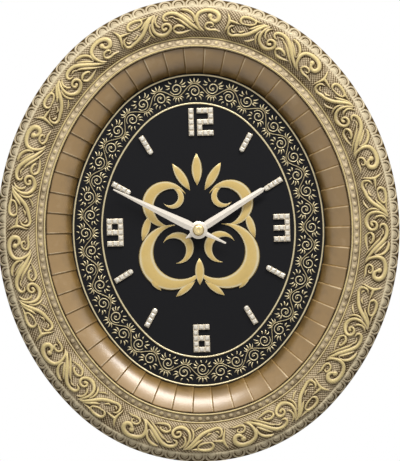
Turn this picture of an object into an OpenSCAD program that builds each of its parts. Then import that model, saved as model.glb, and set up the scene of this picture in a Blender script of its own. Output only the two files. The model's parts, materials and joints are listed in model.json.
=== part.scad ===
// Oval wall clock: carved frame, fluted ring, black dial with stone-set numerals, quartz movement.
// Each piece is drawn face up, x to the right, y up the dial, z out from the wall, and upright() then stands
// it on the wall, so the finished clock has +Z up and faces -Y. The origin is on the hands' axis at the wall.

/* [Frame] */
// Overall width of the frame
frame_w = 330; // [310:1:380]
// Overall height of the frame
frame_h = 380; // [360:1:440]
// Depth from the wall to the crest of the beaded strip
frame_depth = 45; // [44:0.5:54]
// Thickness of the moulded frame
frame_wall = 3; // [2.5:0.1:4]
// Height of the plain side, from the wall to the scalloped rim
side_h = 39.5; // [34:0.5:42]
// Width of the scalloped rim, seen from the front
rim_w = 6.4; // [5:0.1:8]
// Height of the scalloped rim
rim_h = 7; // [5:0.5:9]
// Width of the thin ridge between the rim and the carved band
ridge_w = 0.8; // [0.5:0.1:1.5]
// Width of the carved band, seen from the front
band_w = 24; // [22:0.5:28]
// How far the carved band bulges
band_rise = 4.4; // [3.5:0.1:5.5]
// Width of the beaded strip
bead_w = 8.4; // [7:0.1:10]
// How far the beaded strip climbs to its crest
bead_climb = 3; // [2:0.1:4]
// Thickness of the lip under the beaded strip
lip_t = 8.5; // [7:0.1:9]
// Radius of the screw bosses inside the frame
boss_r = 4; // [3:0.1:4.5]

/* [Carving] */
// Scroll motifs round the carved band
scroll_repeats = 11; // [11:1:12]
// Least height of a carved stroke above the band; wide strokes stand higher
carving_h = 0.9; // [0.5:0.1:1.2]
// Scallops round the rim
scallops = 97; // [90:1:100]
// Height of the scallops above the rim
scallop_h = 1; // [0.6:0.1:1.2]
// Studs round the beaded strip
studs = 139; // [120:1:145]
// Radius of a stud
stud_r = 1.6; // [1.2:0.1:1.8]
// Height of a stud above the beaded strip
stud_h = 0.9; // [0.6:0.1:1.2]

/* [Fluted ring] */
// Width of the fluted ring, seen from the front
cove_w = 20.4; // [18:0.1:24]
// How far the fluted ring stays below the crest at its outer edge
cove_drop = 2.8; // [2:0.1:4]
// How far the fluted ring bulges
cove_rise = 3.3; // [2.5:0.1:3.8]
// Gap between the frame's lip and the fluted ring
cove_gap = 0.4; // [0.2:0.1:0.8]
// Width of the flange under the frame's lip
flange_w = 5.5; // [5:0.1:7]
// Thickness of that flange
flange_t = 3; // [2:0.1:4]
// Width of the foot that presses on the dial
cove_foot_w = 3.2; // [2:0.1:4]
// Radius of the posts that the dial board is screwed to
post_r = 3; // [2.5:0.1:3.4]

/* [Dial] */
// Thickness of the dial
dial_t = 2; // [1.5:0.1:3]
// Thickness of the board behind the dial
board_t = 3; // [2.5:0.1:4]
// Height of the gold lines and ornaments above the dial
relief_t = 0.8; // [0.5:0.1:1.2]
// Width of the two gold lines
line_w = 1.65; // [1:0.05:2.5]
// Dark gap between the fluted ring and the outer gold line
line_gap = 0.8; // [0.5:0.1:2]
// Distance between the middles of the two gold lines
line_spacing = 23.5; // [22:0.5:28]
// Repeats of the leaf scroll between the gold lines
scroll_count = 24; // [18:1:28]
// Width of the ornament in the middle of the dial
medallion_w = 100; // [80:1:108]
// Height of the numerals and batons above the dial
numeral_t = 1.3; // [0.8:0.1:1.6]
// Width of a numeral's stroke
stroke_w = 4.3; // [3.6:0.1:4.6]
// Spacing of the stones along a stroke
stone_pitch = 4.6; // [4.6:0.1:5]
// Width of a square stone
stone_w = 3.3; // [2.6:0.1:3.5]
// Height of a stone
stone_t = 1; // [0.6:0.1:1.4]
// Gap between the numerals and the inner gold line's middle
numeral_gap = 4.1; // [3:0.1:8]
// Length of a baton
baton_l = 17; // [12:0.5:20]
// Gap between the inner gold line's middle and the batons at one, five, seven and eleven
baton_gap_upper = 4.7; // [2:0.1:8]
// Gap between the inner gold line's middle and the batons at two, four, eight and ten
baton_gap_side = 2.8; // [2:0.1:8]

/* [Hands] */
// Clock angle of the minute hand
minute_angle = 297.2; // [0:0.1:360]
// Clock angle of the hour hand
hour_angle = 59.2; // [0:0.1:360]
// Length of the minute hand from its axis
minute_l = 77.6; // [60:0.1:85]
// Widest part of the minute hand
minute_w = 7.6; // [5:0.1:9]
// Length of the minute hand's tail
minute_tail = 25; // [15:0.5:30]
// Length of the hour hand from its axis
hour_l = 64.5; // [45:0.1:70]
// Widest part of the hour hand
hour_w = 6.6; // [5:0.1:8]
// Length of the hour hand's tail
hour_tail = 12.4; // [9:0.1:16]
// Thickness of a hand
hand_t = 0.6; // [0.4:0.1:0.8]
// Radius of the hands' hub
hub_r = 7.25; // [5.5:0.05:8]
// Radius of the cap on the hub
cap_r = 4.75; // [4:0.05:5.5]
// Height of the cap
cap_h = 3.4; // [3:0.1:4]

/* [Back] */
// Depth of the back cover's outer face from the wall
cover_inset = 2.5; // [2.3:0.1:2.8]
// Thickness of the back cover
cover_t = 3; // [2.5:0.1:4]
// Gap round the back cover
cover_gap = 0.4; // [0.2:0.1:1]
// Width of the keyhole hanger
hanger_w = 46; // [42:1:56]
// Height of the keyhole hanger
hanger_h = 20; // [19:1:24]
// Thickness of the keyhole hanger
hanger_t = 1.2; // [0.8:0.1:1.4]
// Radius of the keyhole's round entry
keyhole_r = 4.5; // [4:0.1:5]
// Width of the keyhole's slot
keyhole_slot = 4.4; // [4:0.1:4.8]
// Spacing of the hanger's two screws
hanger_spacing = 34; // [30:1:38]
// Distance of the hanger from the top of the frame
hanger_drop = 21; // [20:0.5:22]

/* [Screws] */
// Radius of a screw's shank
shank_r = 1.15; // [1:0.05:1.4]
// Radius of a screw's head
head_r = 2.7; // [2.4:0.1:3]
// Height of a screw's head
head_t = 1; // [0.8:0.1:1.2]
// Clearance of a shank in its pilot hole
pilot_gap = 0.05; // [0.02:0.01:0.08]
// Clearance of a shank in a through hole
through_gap = 0.35; // [0.2:0.05:0.5]
// Screws round the back cover
cover_screws = 8; // [6:2:10]
// Screws of the fluted ring
cove_screw_count = 8; // [6:2:10]
// Screws of the dial board
dial_screw_count = 8; // [6:2:10]

/* [Movement] */
// Width and height of the movement
movement_w = 56; // [56:0.5:60]
// Thickness of the movement
movement_t = 16; // [16:0.1:17]
// Depth of the movement's back from the wall
movement_inset = 4; // [4:0.1:5]
// Height of the hands' axis above the movement's lower edge
axis_h = 33; // [33:0.1:34]
// Wall of the movement's case
case_wall = 1.5; // [1.2:0.1:1.5]
// Radius of the battery
battery_r = 7; // [6.8:0.05:7]
// Length of the battery
battery_l = 50; // [49:0.1:50.4]
// Room at each end of the battery for its contact
contact_room = 1.5; // [1.2:0.1:2]
// Thickness of a gear
gear_t = 0.8; // [0.6:0.05:0.9]
// Height from one gear level to the next
level_step = 1.8; // [1.7:0.05:1.85]
// Gear module of the train
train_module = 0.3; // [0.28:0.01:0.3]
// Gear module of the minute hand's pinion and its wheel
motion_module = 0.5; // [0.48:0.01:0.5]
// Running clearance of an arbor in its bearing
run_gap = 0.05; // [0.02:0.01:0.08]
// Radius of the threaded bush
bush_r = 4; // [3.8:0.1:4.2]
// Height of the bush above the dial
bush_rise = 4; // [3.8:0.1:4.2]
// Radius of the setting knob
knob_r = 6; // [4:0.1:7]
// Height of the setting knob
knob_t = 2.2; // [1.5:0.1:2.4]

/* [Hidden] */
$fn = 128;

// The oval is four arcs that meet at 45 degrees, so every ring of it is a parallel offset
half_w = frame_w / 2;
half_h = frame_h / 2;
arc_shift = (half_h - half_w) / (2 - sqrt(2));
end_r = half_h - arc_shift;
side_r = half_w + arc_shift;

// Insets from the outline, and depths from the wall
ridge_z = side_h + rim_h;
band_out = rim_w + ridge_w;
band_in = band_out + band_w;
lip_in = band_in + bead_w;
valley_z = frame_depth - bead_climb;
lip_back = frame_depth - lip_t;
boss_inset = band_out + 0.54 * band_w;
boss_top = (ridge_z + valley_z) / 2 + 0.75 * band_rise;
cove_out = lip_in + cove_gap;
cove_in = cove_out + cove_w;
cove_screw_inset = lip_in - 0.6 * flange_w;
cover_front = cover_inset + cover_t;
movement_front = movement_inset + movement_t;
rubber_t = 1;
board_back = movement_front + rubber_t;
board_front = board_back + board_t;
dial_front = board_front + dial_t;
dial_edge = cove_in - cove_foot_w - 0.8;
post_inset = dial_edge - post_r - 0.4;
post_top = dial_front + 4;
board_edge = post_inset - post_r - 1;
outer_line_inset = cove_in + line_gap + line_w / 2;
inner_line_inset = outer_line_inset + line_spacing;
band_mid = (outer_line_inset + inner_line_inset) / 2;
ornament_w = line_spacing - line_w - 3;

// Hands, from the bush outwards
stack_gap = 0.4;
bush_top = dial_front + bush_rise;
collet_l = 1.2;
hour_z = bush_top + stack_gap + collet_l;
pipe_top = hour_z + hand_t + stack_gap;
minute_z = pipe_top + stack_gap + collet_l;
arbor_top = minute_z + hand_t + 1.6;
hour_pipe_r = 2.55;
minute_pipe_r = 1.65;
press_gap = 0.02;

// Movement: its inner faces, gear levels and gear centres
half_m = movement_w / 2;
case_low = -axis_h;
case_high = movement_w - axis_h;
floor_z = movement_inset + case_wall;
roof_z = movement_front - case_wall;
battery_gap = 0.35;
bay_low = case_low + case_wall;
bay_high = bay_low + 2 * (battery_r + battery_gap);
bay_half = battery_l / 2 + contact_room;
train_low = bay_high + case_wall;
battery_z = movement_inset + 0.3 + battery_r;
level_0 = floor_z + 1;
plate_t = 1;
plate_z = level(3) + gear_t + 0.8;
split_z = plate_z + plate_t;
motion_z = split_z + 0.7;
hour_wheel_z = motion_z + gear_t + 0.8;
arbor_r = 0.6;
pivot_r = 0.4;
pivot_l = 0.9;
centre_r = 1;
hour_module = motion_module * 48 / 50;
third_at = polar(train_module * (8 + 64) / 2, 188);
fourth_at = third_at + polar(train_module * (8 + 60) / 2, 78);
intermediate_at = fourth_at + polar(train_module * (10 + 60) / 2, 12);
rotor_at = intermediate_at + polar(train_module * (8 + 40) / 2, 5);
motion_at = polar(motion_module * (12 + 36) / 2, -25);
plate_posts = [
    [-half_m + 4, train_low + 2.2],
    [-half_m + 4, case_high - 3.2],
    [half_m - 3.6, case_high - 3.2]
];
plate_post_r = 1.5;
magnet_r = 2.5;
stator_z = floor_z + 3.1;
stator_t = 1;
core_w = 2;
coil_x = half_m - 7;
coil_r = 3.2;
coil_low = -3.6;
coil_high = 14;
arm_w = 2.2;
upper_arm_y = rotor_at.y + magnet_r + 0.5 + 0.3;
lower_arm_y = coil_low - arm_w - 0.6;
contact_t = 0.5;
chip_board_z = floor_z + 1.5;
chip_board_t = 0.8;
chip_board_low = train_low + 0.6;
chip_board_high = chip_board_low + 7.6;
washer_r = 7;
washer_t = 0.8;
nut_r = 6.9;
nut_t = 2.2;

gold = [0.72, 0.60, 0.40];
dark_gold = [0.55, 0.43, 0.27];
champagne = [0.80, 0.75, 0.64];
black = [0.10, 0.10, 0.11];
grey = [0.35, 0.35, 0.37];
steel = [0.72, 0.73, 0.75];
brass = [0.78, 0.62, 0.30];
white = [0.90, 0.90, 0.88];
fibre = [0.42, 0.30, 0.20];

// Height of one gear level
function level(n) = level_0 + n * level_step;

// Point at a distance and angle
function polar(r, a) = [r * cos(a), r * sin(a)];

// Point, and outward direction, on an arc
function on_arc(centre, r, a) = [centre.x + r * cos(a), centre.y + r * sin(a), a];

// Point at a share of the way round the oval, clockwise from the top, at an inset from the outline
function oval_stop(inset, share) =
    let (
        e = 45 * (end_r - inset),
        q = 45 * (side_r - inset),
        x = (share - floor(share)) * 4 * (e + q)
    )
    x < e ? on_arc([0, arc_shift], end_r - inset, 90 - 45 * x / e) :
    x < e + 2 * q ? on_arc([-arc_shift, 0], side_r - inset, 45 - 45 * (x - e) / q) :
    x < 3 * e + 2 * q ? on_arc([0, -arc_shift], end_r - inset, -45 - 45 * (x - e - 2 * q) / e) :
    x < 3 * e + 4 * q ? on_arc([arc_shift, 0], side_r - inset, -135 - 45 * (x - 3 * e - 2 * q) / q) :
    on_arc([0, arc_shift], end_r - inset, 135 - 45 * (x - 3 * e - 4 * q) / e);

// Distance from the hands' axis to an oval along a clock angle of the first quarter
function oval_reach(inset, clock) =
    let (corner = on_arc([0, arc_shift], end_r - inset, 45))
    clock < atan2(corner.x, corner.y)
    ? arc_shift * cos(clock) + sqrt(pow(end_r - inset, 2) - pow(arc_shift * sin(clock), 2))
    : sqrt(pow(side_r - inset, 2) - pow(arc_shift * cos(clock), 2)) - arc_shift * sin(clock);

// Points along a line from a to b that is pushed out by rise, most of all at a share lean of the way
function bow(a, b, rise, steps, lean = 0.5) =
    let (
        along = b - a,
        out = [-along.y, along.x] / norm(along),
        push = out * rise + along * (lean - 0.5) / 2
    )
    [for (i = [0 : steps]) let (t = i / steps) a + along * t + push * 4 * t * (1 - t)];

// Stands a face-up piece on the wall
module upright() rotate([90, 0, 0]) children();

// A quarter of a ring: a profile of [inset, depth] points turned about one arc's centre
module quarter(profile, centre, r, start)
    translate(centre) rotate(start) rotate_extrude(angle = 90)
        polygon([for (p = profile) [r - p.x, p.y]]);

// A ring with that profile all the way round the oval
module oval_ring(profile) {
    quarter(profile, [0, arc_shift], end_r, 45);
    quarter(profile, [arc_shift, 0], side_r, 135);
    quarter(profile, [0, -arc_shift], end_r, 225);
    quarter(profile, [-arc_shift, 0], side_r, 315);
}

// A flat wedge of the oval, from one arc's centre to its edge
module wedge(inset, z, t, centre, r, start)
    translate(centre) rotate(start) rotate_extrude(angle = 90) translate([0, z]) square([r - inset, t]);

// A flat oval plate
module oval_plate(inset, z, t) {
    wedge(inset, z, t, [0, arc_shift], end_r, 45);
    wedge(inset, z, t, [arc_shift, 0], side_r, 135);
    wedge(inset, z, t, [0, -arc_shift], end_r, 225);
    wedge(inset, z, t, [-arc_shift, 0], side_r, 315);
}

// Copies its children evenly round the oval, each at the height z
module around_oval(inset, count, z)
    for (i = [0 : count - 1]) {
        stop = oval_stop(inset, (i + 0.5) / count);
        translate([stop.x, stop.y, z]) children();
    }

// A screw whose head starts at its own height 0 and whose shank runs away from the wall
module screw(shank_l) {
    cylinder(r = head_r, h = head_t);
    translate([0, 0, head_t]) cylinder(r = shank_r, h = shank_l);
}

// A ring-shaped washer or tube
module tube(r, bore, h)
    difference() {
        cylinder(r = r, h = h);
        translate([0, 0, -1]) cylinder(r = bore, h = h + 2);
    }

// A block from one corner to the other
module block(low, high) translate(low) cube(high - low);

// Outline of a gear with straight-sided teeth, a tooth on the angle 0
function gear_outline(teeth, size) = [
    for (i = [0 : teeth - 1])
        for (corner = [[-1.15, -0.3], [0.9, -0.11], [0.9, 0.11], [-1.15, 0.3]])
            polar((teeth / 2 + corner.x) * size, 360 * (i + corner.y) / teeth)
];

// A gear; phase turns it so that a tooth points that way
module gear(teeth, size, phase, h) rotate(phase) linear_extrude(h) polygon(gear_outline(teeth, size));

// Angle from one gear's centre to another's, for a tooth of the one and a gap of the other to meet
function facing(from, to) = atan2(to.y - from.y, to.x - from.x);
function gap_facing(from, to, teeth) = facing(from, to) + 180 / teeth;

// An arbor with a thin pivot at each end, between the case floor and the gear plate
module train_arbor() {
    translate([0, 0, floor_z - pivot_l]) cylinder(r = pivot_r, h = plate_z + plate_t - floor_z + pivot_l);
    translate([0, 0, floor_z + 0.1]) cylinder(r = arbor_r, h = plate_z - floor_z - 0.2);
}

// Frame: a hollow moulding with bosses for the cover and the hanger
rim_bow = 0.6;
frame_skin = concat(
    [[0, 0]],
    bow([0, side_h], [rim_w, ridge_z], rim_bow, 4),
    bow([band_out, ridge_z], [band_in, valley_z], band_rise, 10),
    [[lip_in, frame_depth], [lip_in, lip_back]],
    bow([band_in - frame_wall / 2, lip_back], [band_out + frame_wall, ridge_z - frame_wall / 2],
        -0.85 * band_rise, 10),
    [[frame_wall, side_h - 1], [frame_wall, 0]]
);
hanger_y = half_h - hanger_drop;
hanger_at = [[-hanger_spacing / 2, hanger_y], [hanger_spacing / 2, hanger_y]];
boss_screw_l = 9;

module boss() cylinder(r = boss_r, h = boss_top - cover_front);
module pilot(depth) translate([0, 0, -1]) cylinder(r = shank_r + pilot_gap, h = depth + 1);

module outer_frame() color(gold) upright() difference() {
    union() {
        oval_ring(frame_skin);
        around_oval(boss_inset, cover_screws, cover_front) boss();
        for (at = hanger_at) translate([at.x, at.y, cover_front]) boss();
    }
    around_oval(boss_inset, cover_screws, cover_front) pilot(boss_screw_l);
    for (at = hanger_at) translate([at.x, at.y, cover_front]) pilot(boss_screw_l);
    around_oval(cove_screw_inset, cove_screw_count, lip_back) pilot(lip_t / 2 + 0.4);
}

// Carving on the frame's faces: ridges with three corners, a hair above the straight strips of those faces
carving_gap = 0.25;
carving_top = 1.8;
stud_gap = 0.06;

// Point [inset, depth] at a share t of the way over a bowed face, raised from it by h
function on_bow(a, b, rise, t, h) =
    let (
        along = b - a,
        out = [-along.y, along.x] / norm(along),
        slope = along + out * rise * 4 * (1 - 2 * t),
        normal = [-slope.y, slope.x] / norm(slope)
    )
    a + along * t + out * rise * 4 * t * (1 - t) + normal * h;

// That point on the ring: along the ray that leaves the oval at a share of its length at the inset middle
function on_ring(middle, share, p) =
    let (stop = oval_stop(middle, share), reach = middle - p.x)
    [stop.x + reach * cos(stop[2]), stop.y + reach * sin(stop[2]), p.y];

function oval_length(inset) = PI * (end_r + side_r - 2 * inset);

// A path with a point added in the middle of each span, on the curve through the stops
function with_middles(stops) =
    let (last = len(stops) - 1)
    [
        for (i = [0 : last - 1])
            let (
                before = i == 0 ? 2 * stops[0] - stops[1] : stops[i - 1],
                after = i == last - 1 ? 2 * stops[last] - stops[last - 1] : stops[i + 2]
            )
            each [stops[i], (9 * (stops[i] + stops[i + 1]) - before - after) / 16],
        stops[last]
    ];

// The three corners of a ridge at each stop [u, v, half width]: a foot, the crest and the other foot.
// Each corner is [u, v, 1 on the crest and 0 at a foot].
function ridge_corners(path) =
    let (last = len(path) - 1)
    [
        for (i = [0 : last])
            let (
                ahead = path[min(i + 1, last)] - path[max(i - 1, 0)],
                aside = [-ahead.y, ahead.x] * path[i].z / norm([ahead.x, ahead.y])
            )
            each [
                [path[i].x + aside.x, path[i].y + aside.y, 0],
                [path[i].x, path[i].y, 1],
                [path[i].x - aside.x, path[i].y - aside.y, 0]
            ]
    ];

// A ridge through three points for each of its stations
module ridge(points) {
    last = len(points) / 3 - 1;
    polyhedron(points, concat(
        [[0, 1, 2], [3 * last + 2, 3 * last + 1, 3 * last]],
        [
            for (i = [0 : last - 1])
                for (j = [0 : 2])
                    let (here = 3 * i + j, beside = 3 * i + (j + 1) % 3)
                    each [[here, here + 3, beside + 3], [here, beside + 3, beside]]
        ]
    ));
}

// Strokes of one scroll motif: [along, up from the band's inner edge, half width]
motif_l = 91.5;
motif_start = 10.7;
scroll_strokes = [
    // open scroll, and the bud under it
    [[-5, 5, 0.4], [-8.2, 10, 0.9], [-8.8, 15, 1.2], [-6.4, 18.8, 1.3], [-1.9, 20.8, 1.3], [3.7, 21, 1.4],
     [8.2, 19.2, 1.5], [10.1, 15.8, 1.5], [8.4, 12.8, 1.3], [5.2, 12.4, 1]],
    [[-1.9, 4.8, 0.4], [-0.5, 7.8, 0.7], [2.8, 9.4, 0.8], [5.8, 8.6, 0.7], [6.2, 6.8, 0.5]],
    // thorn with three points
    [[15.1, 18.2, 0.3], [16.4, 16.2, 0.7], [17.1, 14.9, 0.8]],
    [[17.4, 12.5, 1.1], [21.5, 12.8, 0.8], [25, 12.8, 0.3]],
    [[17.5, 10.3, 0.9], [17.6, 8.5, 0.7], [17.4, 6, 0.3]],
    // hooked leaf, and the stem that climbs across the band
    [[27.8, 14.4, 0.7], [26, 15.6, 0.8], [26.2, 18.2, 0.8], [28.8, 19.4, 0.8], [35.5, 19.4, 0.6],
     [42, 20.4, 0.3]],
    [[21.5, 4, 0.4], [26.2, 5, 0.7], [31.8, 5.6, 0.8], [36.4, 7.8, 0.9], [40.2, 11.8, 1], [44.4, 16.4, 0.5]],
    // spiral, and the arc over it that becomes the long leaf
    [[47.8, 14, 0.6], [47.8, 9.5, 1], [50.1, 5.8, 1], [54.2, 4, 1], [58.3, 5.2, 1], [60.1, 8.2, 0.9],
     [58.7, 10.8, 0.8], [55.9, 11, 0.7], [54.7, 9.2, 0.6]],
    [[50.6, 13, 0.5], [50.6, 15.6, 0.9], [52.9, 18, 1], [57, 19.6, 1], [62.6, 20, 1], [68.2, 17.6, 1.8],
     [74.4, 13.8, 2.4], [78.6, 10.6, 1.7], [82, 7.4, 0.3]],
    // sprout over the leaf, and the bud under it
    [[70, 20.8, 0.3], [73.5, 20.4, 0.6], [77, 19.2, 0.6], [79.4, 17.4, 0.3]],
    [[63.5, 4.4, 0.4], [65, 7.6, 0.7], [68.4, 9.2, 0.8], [71.6, 8.6, 0.7], [73, 7, 0.5]]
];
band_from = [band_out, ridge_z];
band_to = [band_in, valley_z];
band_middle = (band_out + band_in) / 2;

// Share of the way over the bowed band at which it is v up from its inner edge, seen from the front
band_shear = band_rise * (valley_z - ridge_z) / norm(band_to - band_from);
band_run = band_w - 4 * band_shear;
function band_share(v) =
    (sqrt(pow(band_run, 2) + 16 * band_shear * (band_w - v)) - band_run) / (8 * band_shear);

module scroll_stroke(stops, motif) {
    path = with_middles([for (s = stops) [s.x, s.y * band_w / 24, s.z]]);
    corners = ridge_corners(path);
    ridge([
        for (k = [0 : len(corners) - 1])
            let (
                c = corners[k],
                high = carving_gap + c.z * min(carving_top, carving_h + 0.75 * path[floor(k / 3)].z),
                share = (motif + c.x / motif_l) / scroll_repeats + motif_start / oval_length(band_middle)
            )
            on_ring(band_middle, share, on_bow(band_from, band_to, band_rise, band_share(c.y), high))
    ]);
}

module frame_scrolls() color(gold) upright()
    for (motif = [0 : scroll_repeats - 1])
        for (stops = scroll_strokes) scroll_stroke(stops, motif);

// Scallops: arches on the rim with their feet at the ridge, in shares of a scallop's width and the rim's run
function arch_stop(a) = [0.39 * sin(a), 0.84 * cos(a)];

module frame_scallops() color(gold) upright() {
    wide = oval_length(rim_w / 2) / scallops;
    high = norm([rim_w, rim_h]);
    path = [for (a = [-75 : 30 : 75]) let (s = arch_stop(a)) [s.x * wide, s.y * high, 0.09 * wide]];
    corners = ridge_corners(path);
    for (i = [0 : scallops - 1])
        ridge([
            for (c = corners)
                let (
                    raised = carving_gap + c.z * scallop_h,
                    face = on_bow([0, side_h], [rim_w, ridge_z], rim_bow, 1 - c.y / high, raised)
                )
                on_ring(0, (i + c.x / wide) / scallops, face)
        ]);
}

// Studs: low domes along the middle of the beaded strip, square to its face
stud_lean = atan2(bead_climb, bead_w);
stud_sphere = (stud_r * stud_r + stud_h * stud_h) / (2 * stud_h);

module stud() intersection() {
    translate([0, 0, stud_h - stud_sphere]) sphere(r = stud_sphere, $fn = 24);
    cylinder(r = stud_r, h = stud_h + 1, $fn = 24);
}

module frame_studs() color(gold) upright()
    for (i = [0 : studs - 1]) {
        stop = oval_stop(band_in + 0.47 * bead_w, i / studs);
        translate([stop.x, stop.y, valley_z + 0.47 * bead_climb])
            rotate([0, 0, stop[2]]) rotate([0, stud_lean, 0]) translate([0, 0, stud_gap]) stud();
    }

// Fluted ring: flange under the lip, bulging face, foot on the dial, posts for the board
flange_back = lip_back - flange_t;
cove_face = bow([cove_out, frame_depth - cove_drop], [cove_in, dial_front], cove_rise, 10, 0.7);
cove_section = concat(
    [[lip_in - flange_w, flange_back], [lip_in - flange_w, lip_back], [cove_out, lip_back]],
    cove_face,
    [[cove_in - cove_foot_w, dial_front], [cove_out + 0.2 * cove_w, flange_back]]
);

module cove_ring() color(dark_gold) upright() difference() {
    union() {
        oval_ring(cove_section);
        around_oval(post_inset, dial_screw_count, board_front)
            cylinder(r = post_r, h = post_top - board_front);
    }
    around_oval(cove_screw_inset, cove_screw_count, flange_back - 1)
        cylinder(r = shank_r + through_gap, h = flange_t + 2);
    around_oval(post_inset, dial_screw_count, board_front) pilot(post_top - board_front + 0.5);
}

module cove_ring_screws() color(steel) upright()
    around_oval(cove_screw_inset, cove_screw_count, flange_back - head_t) screw(flange_t + lip_t / 2);

// Dial, the board behind it and its screws
module dial_plate() color(black) upright() difference() {
    oval_plate(dial_edge, board_front, dial_t);
    translate([0, 0, board_front - 1]) cylinder(r = bush_r + 0.2, h = dial_t + 2);
}

module dial_board() color(fibre) upright() difference() {
    oval_plate(board_edge, board_back, board_t);
    translate([0, 0, board_back - 1]) cylinder(r = bush_r + 0.2, h = board_t + 2);
    around_oval(post_inset, dial_screw_count, board_back - 1)
        cylinder(r = shank_r + through_gap, h = board_t + 2);
}

module dial_screws() color(steel) upright()
    around_oval(post_inset, dial_screw_count, board_back - head_t) screw(board_t + post_top - board_front);

// Gold lines: square-edged rings laid on the dial
module gold_line(inset) color(gold) upright()
    oval_ring([
        [inset - line_w / 2, dial_front], [inset - line_w / 2, dial_front + relief_t],
        [inset + line_w / 2, dial_front + relief_t], [inset + line_w / 2, dial_front]
    ]);
module dial_outer_line() gold_line(outer_line_inset);
module dial_inner_line() gold_line(inner_line_inset);

// Crescent: a disc less a smaller disc moved sideways, its back on the left
module crescent(r, thick) difference() {
    cylinder(r = r, h = relief_t);
    translate([thick, 0, -1]) cylinder(r = r - thick / 2, h = relief_t + 2);
}

// Leaf: two arcs that meet in points at top and bottom
module leaf(l, w) {
    r = (l * l + w * w) / (4 * w);
    intersection() {
        translate([r - w / 2, 0, 0]) cylinder(r = r, h = relief_t);
        translate([w / 2 - r, 0, 0]) cylinder(r = r, h = relief_t);
    }
}

// Leaf scroll between the gold lines: crescents that open up and down in turn, each round a leaf
module band_ornament() color(gold) upright()
    for (i = [0 : scroll_count - 1]) {
        stop = oval_stop(band_mid, i / scroll_count);
        flip = i % 2 == 0 ? 90 : -90;
        next = oval_stop(band_mid, (i + 0.5) / scroll_count);
        translate([stop.x, stop.y, dial_front]) rotate(stop[2] + flip - 90) {
            crescent(0.46 * ornament_w, 0.2 * ornament_w);
            translate([0.12 * ornament_w, 0, 0]) rotate(90) leaf(0.42 * ornament_w, 0.17 * ornament_w);
        }
        translate([next.x, next.y, dial_front]) rotate(next[2] - 90)
            leaf(0.8 * ornament_w, 0.16 * ornament_w);
    }

// Centre ornament: mirrored leaves and crescents in a pointed medallion; each row is size, place and turn,
// in hundredths of its width
medallion_unit = medallion_w / 100;
medallion_crescents = [
    [27, 9, [23, -22], 150],
    [19, 7, [27, 22], 205],
    [13, 5, [17, -14], 330],
    [9, 3.6, [20, 27], 20]
];
medallion_leaves = [
    [26, 8, [13, 44], -32],
    [22, 7, [43, 3], 18],
    [20, 6, [12, -48], 52],
    [15, 5, [37, -43], -40]
];

module medallion_half() {
    for (c = medallion_crescents)
        translate(c[2] * medallion_unit) rotate(c[3]) crescent(c[0] * medallion_unit, c[1] * medallion_unit);
    for (l = medallion_leaves)
        translate(l[2] * medallion_unit) rotate(l[3]) leaf(l[0] * medallion_unit, l[1] * medallion_unit);
}

module centre_ornament() color(gold) upright() translate([0, 0, dial_front]) {
    medallion_half();
    mirror([1, 0, 0]) medallion_half();
    translate([0, 50 * medallion_unit, 0]) leaf(26 * medallion_unit, 9 * medallion_unit);
    translate([0, -34 * medallion_unit, 0]) leaf(22 * medallion_unit, 8 * medallion_unit);
}

// Numerals: bars on a grid of three by five stones
numeral_w = 2 * stone_pitch + stroke_w;
numeral_h = 4 * stone_pitch + stroke_w;
row_full = [for (r = [0, 2, 4]) [[0, r], [2, r]]];
bars_one = [[[0, 0], [0, 4]]];
bars_two = concat(row_full, [[[2, 2], [2, 4]], [[0, 0], [0, 2]]]);
bars_three = concat(row_full, [[[2, 0], [2, 4]]]);
bars_six = concat(row_full, [[[0, 0], [0, 4]], [[2, 0], [2, 2]]]);
bars_nine = concat(row_full, [[[2, 0], [2, 4]], [[0, 2], [0, 4]]]);
cells_one = [for (r = [0 : 4]) [0, r]];
cells_rows = [for (r = [0, 2, 4]) for (c = [0 : 2]) [c, r]];
cells_two = concat(cells_rows, [[2, 3], [0, 1]]);
cells_three = concat(cells_rows, [[2, 3], [2, 1]]);
cells_six = concat(cells_rows, [[0, 3], [0, 1], [2, 1]]);
cells_nine = concat(cells_rows, [[0, 3], [2, 3], [2, 1]]);
digit_gap = 2.6;
numeral_y = half_h - inner_line_inset - numeral_gap - numeral_h + stroke_w / 2;
numeral_x = half_w - inner_line_inset - numeral_gap - numeral_w + stroke_w / 2;
corner_one = [-digit_gap / 2 - stroke_w / 2, numeral_y];
corner_two = [digit_gap / 2 + stroke_w / 2, numeral_y];
corner_three = [numeral_x, -2 * stone_pitch];
corner_six = [-stone_pitch, -numeral_y - 4 * stone_pitch];
corner_nine = [-numeral_x - 2 * stone_pitch, -2 * stone_pitch];
stone_z = dial_front + numeral_t;

module digit(bars, corner) for (b = bars) {
    low = corner + b[0] * stone_pitch;
    high = corner + b[1] * stone_pitch;
    block([low.x - stroke_w / 2, low.y - stroke_w / 2, dial_front],
          [high.x + stroke_w / 2, high.y + stroke_w / 2, stone_z]);
}

// A square stone
module stone() rotate(45) cylinder(r = stone_w / sqrt(2), h = stone_t, $fn = 4);

module digit_stones(cells, corner)
    for (c = cells) translate([corner.x + c.x * stone_pitch, corner.y + c.y * stone_pitch, stone_z]) stone();

module numeral_twelve() color(champagne) upright() {
    digit(bars_one, corner_one);
    digit(bars_two, corner_two);
}
module numeral_three() color(champagne) upright() digit(bars_three, corner_three);
module numeral_six() color(champagne) upright() digit(bars_six, corner_six);
module numeral_nine() color(champagne) upright() digit(bars_nine, corner_nine);
module numeral_stones() color(white) upright() {
    digit_stones(cells_one, corner_one);
    digit_stones(cells_two, corner_two);
    digit_stones(cells_three, corner_three);
    digit_stones(cells_six, corner_six);
    digit_stones(cells_nine, corner_nine);
}

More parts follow.
